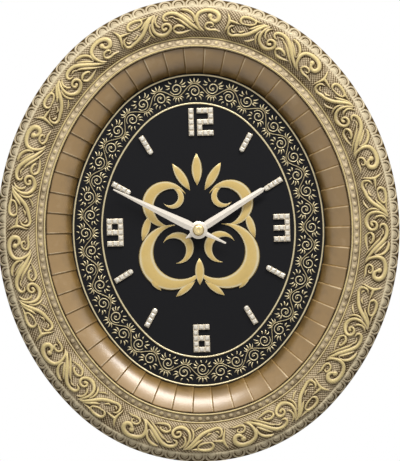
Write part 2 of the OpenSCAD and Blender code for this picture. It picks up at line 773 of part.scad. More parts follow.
// Batons: radial bars with a round inner end at every other hour
baton_stones_each = round((baton_l - stroke_w) / stone_pitch) + 1;
function baton_clock(hour) = let (a = hour * 30 % 180) a > 90 ? 180 - a : a;
function baton_end(hour) =
    let (clock = baton_clock(hour))
    oval_reach(inner_line_inset, clock) - (clock < 45 ? baton_gap_upper : baton_gap_side);

module at_hours() for (hour = [1 : 11]) if (hour % 3 != 0)
    rotate(-30 * hour) translate([0, baton_end(hour), 0]) children();

module hour_batons() color(champagne) upright() at_hours() {
    block([-stroke_w / 2, stroke_w / 2 - baton_l, dial_front], [stroke_w / 2, 0, stone_z]);
    translate([0, stroke_w / 2 - baton_l, dial_front]) cylinder(r = stroke_w / 2, h = numeral_t);
}

module baton_stones() color(white) upright() at_hours()
    for (i = [0 : baton_stones_each - 1])
        translate([0, -stroke_w / 2 - i * (baton_l - stroke_w) / (baton_stones_each - 1), stone_z]) stone();

// Back cover with a window for the movement and a slot behind the hanger
window_gap = 2;
window_half = max(half_m, bay_half + case_wall) + window_gap;
hanger_window = [keyhole_r * 2 + 5, hanger_h - 4];

module back_cover() color(fibre) upright() difference() {
    oval_plate(frame_wall + cover_gap, cover_inset, cover_t);
    block([-window_half, case_low - window_gap, cover_inset - 1],
          [window_half, case_high + window_gap, cover_front + 1]);
    block([-hanger_window.x / 2, hanger_y - hanger_window.y / 2, cover_inset - 1],
          [hanger_window.x / 2, hanger_y + hanger_window.y / 2, cover_front + 1]);
    around_oval(boss_inset, cover_screws, cover_inset - 1)
        cylinder(r = shank_r + through_gap, h = cover_t + 2);
    for (at = hanger_at) translate([at.x, at.y, cover_inset - 1])
        cylinder(r = shank_r + through_gap, h = cover_t + 2);
}

module back_cover_screws() color(steel) upright()
    around_oval(boss_inset, cover_screws, cover_inset - head_t) screw(cover_t + boss_screw_l - 1);

// Keyhole hanger: round entry below, slot above
hanger_back = cover_inset - hanger_t;
keyhole_y = hanger_y - 3;

module hanger_plate() color(steel) upright() difference() {
    block([-hanger_w / 2, hanger_y - hanger_h / 2, hanger_back],
          [hanger_w / 2, hanger_y + hanger_h / 2, cover_inset]);
    translate([0, keyhole_y, hanger_back - 1]) cylinder(r = keyhole_r, h = hanger_t + 2);
    block([-keyhole_slot / 2, keyhole_y, hanger_back - 1],
          [keyhole_slot / 2, keyhole_y + 8, cover_inset + 1]);
    translate([0, keyhole_y + 8, hanger_back - 1]) cylinder(r = keyhole_slot / 2, h = hanger_t + 2);
    for (at = hanger_at) translate([at.x, at.y, hanger_back - 1])
        cylinder(r = shank_r + through_gap, h = hanger_t + 2);
}

module hanger_screws() color(steel) upright()
    for (at = hanger_at) translate([at.x, at.y, hanger_back - head_t])
        screw(hanger_t + cover_t + boss_screw_l - 1);

// Movement case: rear shell with the battery bay, front shell, and the plate between them
bearing_gap = pivot_r + run_gap;
module case_outline(z_low, z_high, margin) {
    block([-half_m + margin, case_low + margin, z_low], [half_m - margin, case_high - margin, z_high]);
    block([-bay_half - case_wall + margin, case_low + margin, z_low],
          [bay_half + case_wall - margin, train_low - margin, z_high]);
}
module case_walls(z_low, z_high) difference() {
    case_outline(z_low, z_high, 0);
    block([-half_m + case_wall, train_low, z_low - 1],
          [half_m - case_wall, case_high - case_wall, z_high + 1]);
    block([-bay_half, bay_low, z_low - 1], [bay_half, bay_high, z_high + 1]);
}

chip_posts = [[5, chip_board_low + 1.6], [half_m - 5, chip_board_low + 1.6]];

module movement_rear_case() color(black) upright() difference() {
    union() {
        case_walls(movement_inset, split_z);
        block([-half_m + 1, train_low - 1, movement_inset], [half_m - 1, case_high - 1, floor_z]);
        for (at = plate_posts) translate([at.x, at.y, floor_z - 0.5])
            cylinder(r = plate_post_r, h = plate_z - floor_z + 0.5);
        for (at = chip_posts) translate([at.x, at.y, floor_z - 0.5])
            cylinder(r = 1.2, h = chip_board_z - floor_z + 0.5);
        translate([coil_x - 1.2, coil_low - 0.6 - arm_w, floor_z - 0.5])
            cube([2.4, arm_w, stator_z - floor_z + 0.5]);
        translate([coil_x - 1.2, upper_arm_y, floor_z - 0.5]) cube([2.4, arm_w, stator_z - floor_z + 0.5]);
    }
    for (at = [third_at, fourth_at, intermediate_at, rotor_at])
        translate([at.x, at.y, floor_z - pivot_l - 0.1]) cylinder(r = bearing_gap, h = pivot_l + 1);
    translate([0, 0, floor_z - pivot_l - 0.1]) cylinder(r = centre_r - 0.2 + run_gap, h = pivot_l + 1);
    translate([motion_at.x, motion_at.y, movement_inset - 1])
        cylinder(r = centre_r + run_gap, h = case_wall + 2);
}

module movement_front_case() color(black) upright() difference() {
    union() {
        case_walls(split_z, movement_front);
        case_outline(roof_z, movement_front, 1);
    }
    translate([0, 0, roof_z - 1]) cylinder(r = bush_r + press_gap, h = case_wall + 2);
    translate([0, 0, roof_z - 1]) cylinder(r = bush_flange_r + press_gap, h = bush_flange_t + 1);
    translate([motion_at.x, motion_at.y, roof_z - 1]) cylinder(r = bearing_gap, h = pivot_l + 1);
}

module gear_plate() color(white) upright() difference() {
    block([-half_m + case_wall + 0.2, train_low + 0.2, plate_z],
          [half_m - case_wall - 0.2, case_high - case_wall - 0.2, split_z]);
    for (at = [third_at, fourth_at, intermediate_at, rotor_at])
        translate([at.x, at.y, plate_z - 1]) cylinder(r = bearing_gap, h = plate_t + 2);
    for (at = [[0, 0], motion_at])
        translate([at.x, at.y, plate_z - 1]) cylinder(r = centre_r + run_gap, h = plate_t + 2);
}

// Bush through the board and dial, with the parts that clamp it
bush_flange_r = 6;
bush_flange_t = 0.7;
module centre_bush() color(brass) upright() difference() {
    union() {
        translate([0, 0, roof_z]) cylinder(r = bush_r, h = bush_top - roof_z);
        translate([0, 0, roof_z]) cylinder(r = bush_flange_r, h = bush_flange_t);
    }
    translate([0, 0, roof_z - 1]) cylinder(r = hour_pipe_r + run_gap, h = bush_top - roof_z + 2);
}

module bush_washer() color(brass) upright()
    translate([0, 0, dial_front]) tube(washer_r, bush_r + 0.2, washer_t);
module rubber_washer() color(black) upright()
    translate([0, 0, movement_front]) tube(washer_r + 3, bush_r + 0.2, rubber_t);
module bush_nut() color(brass) upright() translate([0, 0, dial_front + washer_t]) difference() {
    cylinder(r = nut_r, h = nut_t, $fn = 6);
    translate([0, 0, -1]) cylinder(r = bush_r + press_gap, h = nut_t + 2);
}

// Battery, lying along x, and its two contacts
battery_y = bay_low + battery_r + battery_gap;
nub_l = 1.4;
module along_x(x) translate([x, battery_y, battery_z]) rotate([0, 90, 0]) children();

module battery() color(grey) upright() {
    along_x(-battery_l / 2) cylinder(r = battery_r, h = battery_l - nub_l);
    along_x(battery_l / 2 - nub_l) cylinder(r = 2.7, h = nub_l);
}

module contact_plus() color(steel) upright() {
    block([bay_half - contact_t, battery_y - 4, battery_z - 5], [bay_half, battery_y + 4, battery_z + 5]);
    along_x(battery_l / 2) cylinder(r = 2, h = contact_room - contact_t / 2);
}

module contact_minus() color(steel) upright() {
    block([-bay_half, battery_y - 4, battery_z - 5], [-bay_half + contact_t, battery_y + 4, battery_z + 5]);
    along_x(-bay_half + contact_t / 2) cylinder(r = 3, h = contact_room - contact_t / 2);
}

// Electronics
chip_top = chip_board_z + chip_board_t;
module circuit_board() color("darkgreen") upright()
    block([2, chip_board_low, chip_board_z], [half_m - case_wall - 0.5, chip_board_high, chip_top]);
module control_chip() color(black) upright()
    translate([8, chip_board_low + 4, chip_top]) cylinder(r = 2.4, h = 1.1);
module quartz_can() color(steel) upright()
    translate([13, chip_board_low + 4, chip_top + 1.02]) rotate([0, 90, 0]) cylinder(r = 1, h = 6);

// Stepping motor: stator with its two arms, core and coil
module stator() color(steel) upright() difference() {
    union() {
        block([rotor_at.x - magnet_r - 1, rotor_at.y - magnet_r - 1.6, stator_z],
              [rotor_at.x + magnet_r + 1, upper_arm_y + arm_w, stator_z + stator_t]);
        block([rotor_at.x, upper_arm_y, stator_z],
              [coil_x + core_w, upper_arm_y + arm_w, stator_z + stator_t]);
        block([rotor_at.x + magnet_r, rotor_at.y - magnet_r - 1.6, stator_z],
              [rotor_at.x + magnet_r + 4, rotor_at.y - magnet_r + 0.6, stator_z + stator_t]);
        block([rotor_at.x + magnet_r + 4 - arm_w, lower_arm_y, stator_z],
              [rotor_at.x + magnet_r + 4, rotor_at.y - magnet_r, stator_z + stator_t]);
        block([rotor_at.x + magnet_r + 4 - arm_w, lower_arm_y, stator_z],
              [coil_x + core_w, lower_arm_y + arm_w, stator_z + stator_t]);
    }
    translate([rotor_at.x, rotor_at.y, stator_z - 1]) cylinder(r = magnet_r + 0.5, h = stator_t + 2);
}

core_z = stator_z + stator_t;
module coil_core() color(steel) upright()
    block([coil_x - core_w / 2, lower_arm_y, core_z],
          [coil_x + core_w / 2, upper_arm_y + arm_w, core_z + stator_t]);

module coil() color([0.62, 0.32, 0.14]) upright() difference() {
    translate([coil_x, coil_low, core_z + stator_t / 2]) rotate([-90, 0, 0]) {
        cylinder(r = coil_r - 0.4, h = coil_high - coil_low);
        cylinder(r = coil_r, h = 1);
        translate([0, 0, coil_high - coil_low - 1]) cylinder(r = coil_r, h = 1);
    }
    block([coil_x - core_w / 2 - 0.1, coil_low - 1, core_z - 0.1],
          [coil_x + core_w / 2 + 0.1, coil_high + 1, core_z + stator_t + 0.1]);
}

// Wheels of the train, from the rotor to the centre wheel
module at_gear(at, z) translate([at.x, at.y, z]) children();

module rotor() color(white) upright() {
    at_gear(rotor_at, 0) train_arbor();
    at_gear(rotor_at, level(0)) gear(8, train_module, facing(rotor_at, intermediate_at), gear_t);
}

module rotor_magnet() color(grey) upright()
    at_gear(rotor_at, stator_z - 0.5) tube(magnet_r, arbor_r + press_gap, stator_t + 1);

module train_wheel(at, wheel_level, teeth, wheel_phase, pinion_level, leaves, pinion_phase) {
    at_gear(at, 0) train_arbor();
    at_gear(at, level(wheel_level)) gear(teeth, train_module, wheel_phase, gear_t);
    at_gear(at, level(pinion_level)) gear(leaves, train_module, pinion_phase, gear_t);
}

module intermediate_wheel() color(white) upright()
    train_wheel(intermediate_at, 0, 40, gap_facing(intermediate_at, rotor_at, 40),
                1, 10, facing(intermediate_at, fourth_at));
module fourth_wheel() color(white) upright()
    train_wheel(fourth_at, 1, 60, gap_facing(fourth_at, intermediate_at, 60),
                2, 8, facing(fourth_at, third_at));
module third_wheel() color(white) upright()
    train_wheel(third_at, 2, 60, gap_facing(third_at, fourth_at, 60), 3, 8, facing(third_at, [0, 0]));

// Centre wheel, which grips the minute arbor like a slipping clutch
module centre_wheel() color(white) upright() difference() {
    at_gear([0, 0], level(3)) gear(64, train_module, gap_facing([0, 0], third_at, 64), gear_t);
    translate([0, 0, level(3) - 1]) cylinder(r = centre_r + press_gap, h = gear_t + 2);
}

module minute_arbor() color(steel) upright() {
    translate([0, 0, floor_z - pivot_l]) cylinder(r = centre_r - 0.2, h = pivot_l + 1);
    translate([0, 0, floor_z + 0.1]) cylinder(r = centre_r, h = motion_z - floor_z);
    at_gear([0, 0], motion_z) gear(12, motion_module, facing([0, 0], motion_at), gear_t);
    translate([0, 0, motion_z]) cylinder(r = minute_pipe_r, h = arbor_top - motion_z);
}

// Motion wheel, whose arbor comes out behind for the setting knob
module motion_wheel() color(white) upright() {
    arbor_low = movement_inset - knob_t + 0.4;
    at_gear(motion_at, arbor_low) cylinder(r = centre_r, h = roof_z - 0.1 - arbor_low);
    at_gear(motion_at, roof_z - 0.2) cylinder(r = pivot_r, h = pivot_l);
    at_gear(motion_at, motion_z) gear(36, motion_module, gap_facing(motion_at, [0, 0], 36), gear_t);
    at_gear(motion_at, hour_wheel_z) gear(10, hour_module, facing(motion_at, [0, 0]), gear_t);
}

knob_z = movement_inset - knob_t - 0.2;
knob_ribs = 20;
module setting_knob() color(grey) upright() at_gear(motion_at, knob_z) difference() {
    linear_extrude(knob_t) polygon([
        for (i = [0 : knob_ribs - 1]) for (c = [[-0.5, -0.3], [0, -0.2], [0, 0.2], [-0.5, 0.3]])
            polar(knob_r + c.x, 360 * (i + c.y) / knob_ribs)
    ]);
    translate([0, 0, 0.5]) cylinder(r = centre_r + press_gap, h = knob_t);
}

module hour_wheel() color(white) upright() difference() {
    union() {
        at_gear([0, 0], hour_wheel_z) gear(40, hour_module, gap_facing([0, 0], motion_at, 40), gear_t);
        translate([0, 0, hour_wheel_z]) cylinder(r = hour_pipe_r, h = pipe_top - hour_wheel_z);
    }
    translate([0, 0, hour_wheel_z - 1])
        cylinder(r = minute_pipe_r + run_gap, h = pipe_top - hour_wheel_z + 2);
}

// Hands: a blade with a hub and a collet that grips its pipe
module hand(outline, clock, z, bore) translate([0, 0, z]) difference() {
    union() {
        rotate(-clock) linear_extrude(hand_t) polygon(outline);
        cylinder(r = hub_r, h = hand_t);
        translate([0, 0, -collet_l]) cylinder(r = bore + 1, h = collet_l);
    }
    translate([0, 0, -collet_l - 1]) cylinder(r = bore, h = hand_t + collet_l + 2);
}

minute_outline = [
    [-0.7, -minute_tail], [0.7, -minute_tail], [minute_w * 0.25, -hub_r + 1], [minute_w / 2, hub_r + 4],
    [0.6, minute_l], [-0.6, minute_l], [-minute_w / 2, hub_r + 4], [-minute_w * 0.25, -hub_r + 1]
];
hour_outline = [
    [0, -hour_tail], [hour_w * 0.35, -hub_r + 1], [hour_w / 2, hub_r + 3], [hour_w * 0.3, hour_l - 3],
    [0, hour_l], [-hour_w * 0.3, hour_l - 3], [-hour_w / 2, hub_r + 3], [-hour_w * 0.35, -hub_r + 1]
];

module hour_hand() color(champagne) upright() hand(hour_outline, hour_angle, hour_z, hour_pipe_r + press_gap);
module minute_hand() color(champagne) upright()
    hand(minute_outline, minute_angle, minute_z, minute_pipe_r + press_gap);

module hand_cap() color(gold) upright() translate([0, 0, minute_z + hand_t]) difference() {
    union() {
        cylinder(r = cap_r, h = cap_h * 0.45);
        translate([0, 0, cap_h * 0.45]) cylinder(r1 = cap_r, r2 = cap_r * 0.45, h = cap_h * 0.55);
    }
    translate([0, 0, -1]) cylinder(r = minute_pipe_r + press_gap, h = arbor_top - minute_z - hand_t + 1.1);
}

outer_frame();
frame_scrolls();
frame_scallops();
frame_studs();
cove_ring();
cove_ring_screws();
dial_plate();
dial_board();
dial_screws();
dial_outer_line();
dial_inner_line();
band_ornament();
centre_ornament();
numeral_twelve();
numeral_three();
numeral_six();
numeral_nine();
numeral_stones();
hour_batons();
baton_stones();
back_cover();
back_cover_screws();
hanger_plate();
hanger_screws();
movement_rear_case();
movement_front_case();
gear_plate();
centre_bush();
bush_nut();
bush_washer();
rubber_washer();
battery();
contact_plus();
contact_minus();
circuit_board();
quartz_can();
control_chip();
coil();
coil_core();
stator();
rotor();
rotor_magnet();
intermediate_wheel();
fourth_wheel();
third_wheel();
centre_wheel();
minute_arbor();
motion_wheel();
setting_knob();
hour_wheel();
hour_hand();
minute_hand();
hand_cap();
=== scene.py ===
"""Dresses the oval gilt wall clock: carved frame, fluted ring, stone-set black dial, hands and movement."""

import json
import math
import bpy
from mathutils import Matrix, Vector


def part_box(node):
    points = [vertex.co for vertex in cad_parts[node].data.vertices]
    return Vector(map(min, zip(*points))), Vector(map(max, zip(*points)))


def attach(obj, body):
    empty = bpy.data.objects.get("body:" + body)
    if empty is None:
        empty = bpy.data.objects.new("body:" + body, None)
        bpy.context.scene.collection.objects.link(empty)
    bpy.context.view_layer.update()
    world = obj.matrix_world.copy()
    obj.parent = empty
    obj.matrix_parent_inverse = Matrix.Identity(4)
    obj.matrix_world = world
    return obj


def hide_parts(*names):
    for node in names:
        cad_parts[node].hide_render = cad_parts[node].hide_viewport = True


bl_info = {
    "name": "Oval gilt wall clock",
    "version": (1, 0, 0),
    "blender": (4, 5, 0),
    "location": "View3D > Sidebar > Wall clock",
    "description": "Carved frame, fluted ring, ornamented dial, stone-set numerals, hands and finishes",
    "category": "Object",
}

import bpy
import numpy as np
from bpy.props import FloatProperty, FloatVectorProperty, IntProperty, PointerProperty

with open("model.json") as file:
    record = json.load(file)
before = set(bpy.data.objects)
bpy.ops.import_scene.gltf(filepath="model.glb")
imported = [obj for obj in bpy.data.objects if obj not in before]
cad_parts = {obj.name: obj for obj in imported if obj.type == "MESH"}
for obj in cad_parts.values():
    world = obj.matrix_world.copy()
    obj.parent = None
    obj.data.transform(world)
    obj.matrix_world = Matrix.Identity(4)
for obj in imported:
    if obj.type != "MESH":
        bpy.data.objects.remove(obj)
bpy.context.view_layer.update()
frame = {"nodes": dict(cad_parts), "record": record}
MM = 0.001
# How far what stands on a face reaches into it
SINK = 0.05 * MM


def low_corner(node):
    """Lowest corner of a CAD node, in metres."""
    return np.array(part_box(node)[0])


def high_corner(node):
    """Highest corner of a CAD node, in metres."""
    return np.array(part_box(node)[1])


def front_of(node):
    """How far a CAD node's front stands out from the wall."""
    return -low_corner(node)[1]


def back_of(node):
    """How far a CAD node's back stands out from the wall."""
    return -high_corner(node)[1]


# The outline is an oval of four arcs that meet on the diagonals of their centres
HALF_W = high_corner("outer_frame")[0]
HALF_H = high_corner("outer_frame")[2]
ARC_SHIFT = (HALF_H - HALF_W) / (2.0 - math.sqrt(2.0))
END_R = HALF_H - ARC_SHIFT
SIDE_R = HALF_W + ARC_SHIFT
DIAL_FRONT = front_of("dial_plate")
OUTER_LINE = HALF_W - high_corner("dial_outer_line")[0]
INNER_LINE = HALF_W - high_corner("dial_inner_line")[0]


def length(name, default, description):
    """A size in metres that the sidebar shows as a length."""
    return FloatProperty(name=name, description=description, default=default, min=0.0, unit="LENGTH")


def position(name, default, description):
    """A place in metres, to either side of the hands' axis."""
    return FloatProperty(name=name, description=description, default=default, unit="LENGTH")


def bearing(name, degrees, description):
    """An angle that the sidebar shows in degrees."""
    default = math.radians(degrees)
    return FloatProperty(name=name, description=description, default=default, subtype="ANGLE")


def number(name, default, description):
    """A plain number, such as a share, a power or a level of light."""
    return FloatProperty(name=name, description=description, default=default, min=0.0)


def count(name, default, description):
    """A whole number of repeats."""
    return IntProperty(name=name, description=description, default=default, min=3)


def tint(name, default, description):
    """A colour in linear light."""
    return FloatVectorProperty(
        name=name, description=description, default=default, subtype="COLOR", size=3, min=0.0, max=1.0
    )


class ClockFrameSizes(bpy.types.PropertyGroup):
    """Sizes of the carved frame and of the fluted ring inside it."""

    side_height: length("Side height", 0.0395, "Plain side of the frame, from the wall")
    rim_width: length("Rim width", 0.0064, "Scalloped rim, seen from the front")
    rim_rise: length("Rim rise", 0.007, "How much the scalloped rim climbs")
    ridge_width: length("Ridge width", 0.0008, "Sharp edge between the rim and the carved band")
    band_width: length("Band width", 0.024, "Carved band, seen from the front")
    band_fall: length("Band fall", 0.0045, "How much the carved band falls towards the bead strip")
    band_bulge: length("Band bulge", 0.0044, "How far the carved band swells in its middle")
    bead_width: length("Bead strip width", 0.0084, "Strip with the row of studs")
    bead_crest: length("Bead strip crest", 0.045, "Inner edge of that strip, from the wall")
    wall: length("Wall", 0.003, "Thickness of the frame's shell")
    scroll_bold: number("Scroll boldness", 1.16, "Factor on the strokes' widths")
    scroll_rise: length("Scroll rise", 0.00115, "Height of the thinnest strokes of the scroll")
    scroll_top: length("Scroll top", 0.00205, "Height of the widest strokes of the scroll")
    hatch_pitch: length("Hatch pitch", 0.0018, "Distance between the hatched lines of the ground")
    hatch_depth: length("Hatch depth", 0.0006, "Depth of the hatched lines")
    stud_radius: length("Stud radius", 0.00185, "Radius of one stud of the beaded strip")
    stud_rise: length("Stud rise", 0.0009, "Height of one stud of the beaded strip")
    repeats: count("Scroll repeats", 11, "Scroll motifs round the carved band")
    scallops: count("Scallops", 97, "Scallops round the rim")
    studs: count("Studs", 139, "Studs round the beaded strip")
    ring_gap: length("Ring gap", 0.0004, "Gap between the bead strip and the fluted ring")
    ring_width: length("Ring width", 0.0204, "Fluted ring, seen from the front")
    ring_drop: length("Ring drop", 0.0028, "How far the ring starts behind the bead strip")
    ring_bulge: length("Ring bulge", 0.0033, "How far the fluted ring swells")
    ring_step: length("Ring step", 0.0011, "Height of the step between two panels")
    ring_riser: number("Ring riser", 0.07, "Share of a panel's width that its slanted riser takes")
    panels: count("Panels", 50, "Panels of the fluted ring")


class ClockDialSizes(bpy.types.PropertyGroup):
    """Sizes of the dial's lines, ornament, numerals and stones."""

    line_width: length("Line width", 0.00165, "Gold lines either side of the ornament band")
    line_rise: length("Line rise", 0.0009, "Height of the gold lines")
    vine_waves: count("Vine waves", 22, "Waves of the vine round the band")
    vine_rise: length("Vine rise", 0.0011, "Height of the vine's strokes")
    medallion_rise: length("Medallion rise", 0.0016, "Height of the ornament in the middle")
    stroke: length("Stroke width", 0.0043, "Width of the numerals' strokes and of the batons")
    pitch: length("Stone pitch", 0.0046, "Distance between two stones")
    digit_step: length("Digit step", 0.0069, "Distance between the two digits of the twelve")
    stone: length("Stone width", 0.0036, "Width of one square stone")
    stone_rise: length("Stone rise", 0.0013, "Height of a stone over its numeral")
    baton_length: length("Baton length", 0.017, "Length of an hour baton")
    baton_gap_upper: length("Upper baton gap", 0.0047, "Inner line to the batons near twelve and six")
    baton_gap_side: length("Side baton gap", 0.0028, "Inner line to the batons near three and nine")


class ClockHandSizes(bpy.types.PropertyGroup):
    """Sizes and directions of the hands."""

    hub_radius: length("Hub radius", 0.00725, "Radius of the hands' hubs")
    minute_reach: length("Minute reach", 0.0776, "Minute hand, from the axis to the tip")
    minute_tail: length("Minute tail", 0.025, "Minute hand, from the axis to the tail's end")
    minute_width: length("Minute width", 0.0076, "Widest part of the minute hand")
    hour_reach: length("Hour reach", 0.0645, "Hour hand, from the axis to the tip")
    hour_tail: length("Hour tail", 0.0124, "Hour hand, from the axis to the tail's end")
    hour_width: length("Hour width", 0.0066, "Widest part of the hour hand")
    minute_angle: bearing("Minute angle", 297.2, "Clockwise from twelve")
    hour_angle: bearing("Hour angle", 59.2, "Clockwise from twelve")


class ClockColours(bpy.types.PropertyGroup):
    """Colours of the clock's finishes, in linear light."""

    # The dark tone is wax in the carving, and also painted shade at the strokes' feet and on the bead strip
    gilt_deep: tint("Gilt in the recesses", (0.075, 0.043, 0.008), "Dark wax left in the carving")
    gilt_body: tint("Gilt on the ground", (0.50, 0.40, 0.255), "Gilt lacquer on the ground")
    # The crest tone also gives the painted highlight on the bead strip's outer fillet
    gilt_rubbed_and_highlight: tint("Gilt on the crests", (0.60, 0.48, 0.225), "Gilt rubbed bright on the raised parts")
    rim_body: tint("Rim", (0.46, 0.375, 0.24), "Pale gilt of the scalloped rim")
    # The rim's crest tone also gives the painted highlight along its top edge
    rim_rubbed: tint("Rim crests", (0.62, 0.53, 0.35), "Pale gilt on the crests of the rim")
    bronze: tint("Fluted ring", (0.26, 0.155, 0.05), "Satin bronze lacquer of the ring")
    # Painted highlight on the raised edges of the ring's panels
    ring_edge_highlight: tint("Ring edges", (0.56, 0.43, 0.26), "Pale worn edges of the ring's panels")
    dial: tint("Dial", (0.0075, 0.0075, 0.0085), "Satin black of the dial")
    gold: tint("Dial gold", (0.60, 0.51, 0.31), "Pale gold of the lines and the vine")
    medal: tint("Medallion gold", (0.56, 0.40, 0.14), "Rich gold of the ornament in the middle")
    champagne: tint("Champagne", (0.62, 0.53, 0.39), "Plated numerals and batons")
    hands: tint("Hands", (0.68, 0.62, 0.53), "Silvery champagne of the hands")
    cap: tint("Cap", (0.70, 0.56, 0.29), "Gold cap of the hands")
    stones: tint("Stones", (0.74, 0.68, 0.57), "Cream crystal of the stones")


# Oval and profile geometry


def held(value):
    """Values kept between 0 and 1."""
    return np.clip(value, 0.0, 1.0)


def dome(square):
    """Height of a round back: the root of 1 less a squared distance, and zero beyond the distance 1."""
    return np.sqrt(np.clip(1.0 - square, 0.0, None))


def oval_rays(share, inset):
    """Rays that leave the oval's arcs at shares of its length, clockwise from the top.

    The length is measured along the ring at an inset: half the top arc, the right arc, the bottom arc, the
    left arc and the other half of the top arc. It is counted so that 45 degrees of an arc are as long as the
    arc's radius. Returns each ray's centre (x, z), its arc's radius at the outline and its direction (x, z).
    """
    end, side = END_R - inset, SIDE_R - inset
    run = np.mod(share, 1.0) * 4.0 * (end + side)
    arc_starts = np.array([0.0, end, end + 2 * side, 3 * end + 2 * side, 3 * end + 4 * side])
    arc = np.searchsorted(arc_starts, run, side="right") - 1
    own_radius = np.array([end, side, end, side, end])[arc]
    start_angle = np.array([90.0, 45.0, -45.0, -135.0, 135.0])[arc]
    angle = np.radians(start_angle - 45.0 * (run - arc_starts[arc]) / own_radius)
    centre_x = ARC_SHIFT * np.array([0.0, -1.0, 0.0, 1.0, 0.0])[arc]
    centre_z = ARC_SHIFT * np.array([1.0, 0.0, -1.0, 0.0, 1.0])[arc]
    radius = np.array([END_R, SIDE_R, END_R, SIDE_R, END_R])[arc]
    return centre_x, centre_z, radius, np.cos(angle), np.sin(angle)


def on_oval(share, inset, depth, measured_at):
    """Points on the oval's rays: the centre plus (radius - inset) along the ray, at a depth off the wall."""
    centre_x, centre_z, radius, along_x, along_z = oval_rays(share, measured_at)
    x = centre_x + (radius - inset) * along_x
    z = centre_z + (radius - inset) * along_z
    return np.stack(np.broadcast_arrays(x, -depth, z), axis=-1)


def oval_length(inset):
    """Length of the ring at an inset: four arcs of a quarter turn, two of each radius."""
    return math.pi * (END_R + SIDE_R - 2.0 * inset)


def oval_reach(clock, inset):
    """Distance from the axis to the ring at an inset along a clock angle, which meets the end or side arc."""
    side, up = abs(math.sin(clock)), abs(math.cos(clock))
    corner = (END_R - inset) * math.sqrt(0.5)
    if math.atan2(side, up) < math.atan2(corner, corner + ARC_SHIFT):
        return ARC_SHIFT * up + math.sqrt((END_R - inset) ** 2 - (ARC_SHIFT * side) ** 2)
    return math.sqrt((SIDE_R - inset) ** 2 - (ARC_SHIFT * up) ** 2) - ARC_SHIFT * side


def bow(start, end, rise, steps, lean=0.5):
    """A parabola of (inset, depth) from start to end that swells by rise towards the front.

    It is a Bezier curve whose one control point stands twice the rise off the chord, at a share lean of it.
    """
    t = np.linspace(0.0, 1.0, steps)[:, None]
    start, end = np.array(start), np.array(end)
    along = end - start
    out = np.array([-along[1], along[0]]) / np.linalg.norm(along)
    control = start + along * lean + out * 2.0 * rise
    return start * (1.0 - t) ** 2 + control * 2.0 * t * (1.0 - t) + end * t**2


def even_profile(points, steps):
    """Points at equal steps along a profile, their unit normals on the front side and their runs."""
    lengths = np.linalg.norm(np.diff(points, axis=0), axis=1)
    run = np.concatenate([[0.0], np.cumsum(lengths)])
    at = np.linspace(0.0, run[-1], steps)
    even = np.stack([np.interp(at, run, points[:, k]) for k in (0, 1)], axis=1)
    along = np.gradient(even, axis=0)
    along /= np.linalg.norm(along, axis=1, keepdims=True)
    return even, np.stack([-along[:, 1], along[:, 0]], axis=1), at


# Meshes


def loops_to_faces(rows, size, ring):
    """Quads and caps of a grid whose rows are closed loops that join in a ring or end in two flat caps."""
    row = np.arange(rows if ring else rows - 1)[:, None]
    column = np.arange(size)[None, :]
    after, beside = (row + 1) % rows, (column + 1) % size
    corners = (row * size + column, after * size + column, after * size + beside, row * size + beside)
    quads = np.stack(corners, axis=-1).reshape(-1, 4)
    caps = np.stack([np.arange(size), (rows * size - 1) - np.arange(size)])
    return quads, caps[:0] if ring else caps


def enclosed(points, faces):
    """Signed volume inside faces of equal size: the sum of the tetrahedra of their fans with the origin."""
    first = points[faces[:, 0]][:, None, :]
    second, third = points[faces[:, 1:-1]], points[faces[:, 2:]]
    return float(np.sum(first * np.cross(second, third))) / 6.0


def make_mesh(name, points, quads, caps, crease=60.0, relief=None):
    """A mesh of quads and caps, turned to enclose a positive volume and smooth up to the crease angle."""
    points = np.asarray(points, dtype=np.float64).reshape(-1, 3)
    volume = enclosed(points, quads) + (enclosed(points, caps) if len(caps) else 0.0)
    if volume < 0.0:
        quads, caps = quads[:, ::-1], caps[:, ::-1]
    mesh = bpy.data.meshes.new(name)
    mesh.vertices.add(len(points))
    mesh.vertices.foreach_set("co", points.astype(np.float32).ravel())
    corners = np.concatenate([quads.ravel(), caps.ravel()]).astype(np.int32)
    mesh.loops.add(len(corners))
    mesh.loops.foreach_set("vertex_index", corners)
    starts = np.arange(len(quads)) * 4
    if len(caps):
        starts = np.concatenate([starts, quads.size + np.arange(len(caps)) * caps.shape[1]])
    mesh.polygons.add(len(starts))
    mesh.polygons.foreach_set("loop_start", starts.astype(np.int32))
    mesh.update(calc_edges=True)
    if mesh.validate():
        raise RuntimeError(name + " has faces that had to be mended")
    mesh.shade_smooth()
    mesh.set_sharp_from_angle(angle=math.radians(crease))
    if relief is not None:
        layer = mesh.attributes.new("relief", "FLOAT", "POINT")
        layer.data.foreach_set("value", np.asarray(relief, dtype=np.float32).ravel())
    return mesh


def grid_mesh(name, grid, ring=False, crease=60.0, relief=None):
    """A mesh from a grid of points (rows, loop, 3)."""
    quads, caps = loops_to_faces(grid.shape[0], grid.shape[1], ring)
    return make_mesh(name, grid, quads, caps, crease, relief)


def many_grids_mesh(name, batches, crease=60.0, relief=None):
    """One mesh from batches of like capped grids (pieces, rows, loop, 3), all with loops of one size."""
    points, quads, caps = [], [], []
    start = 0
    for batch in batches:
        pieces, rows, size = batch.shape[:3]
        own_quads, own_caps = loops_to_faces(rows, size, False)
        shift = (start + np.arange(pieces) * rows * size)[:, None, None]
        quads.append((own_quads[None] + shift).reshape(-1, 4))
        caps.append((own_caps[None] + shift).reshape(-1, size))
        points.append(batch.reshape(-1, 3))
        start += pieces * rows * size
    points, quads, caps = (np.concatenate(rows) for rows in (points, quads, caps))
    return make_mesh(name, points, quads, caps, crease, relief)


def add_piece(mesh, body, nodes, slot, *materials):
    """Links a mesh as a piece that rides on a body, stands for CAD nodes and takes the given materials; the
    slot is not used.
    """
    piece = bpy.data.objects.new(mesh.name, mesh)
    bpy.context.scene.collection.objects.link(piece)
    for material in materials:
        mesh.materials.append(material)
    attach(piece, body)
    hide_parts(*nodes)
    return piece


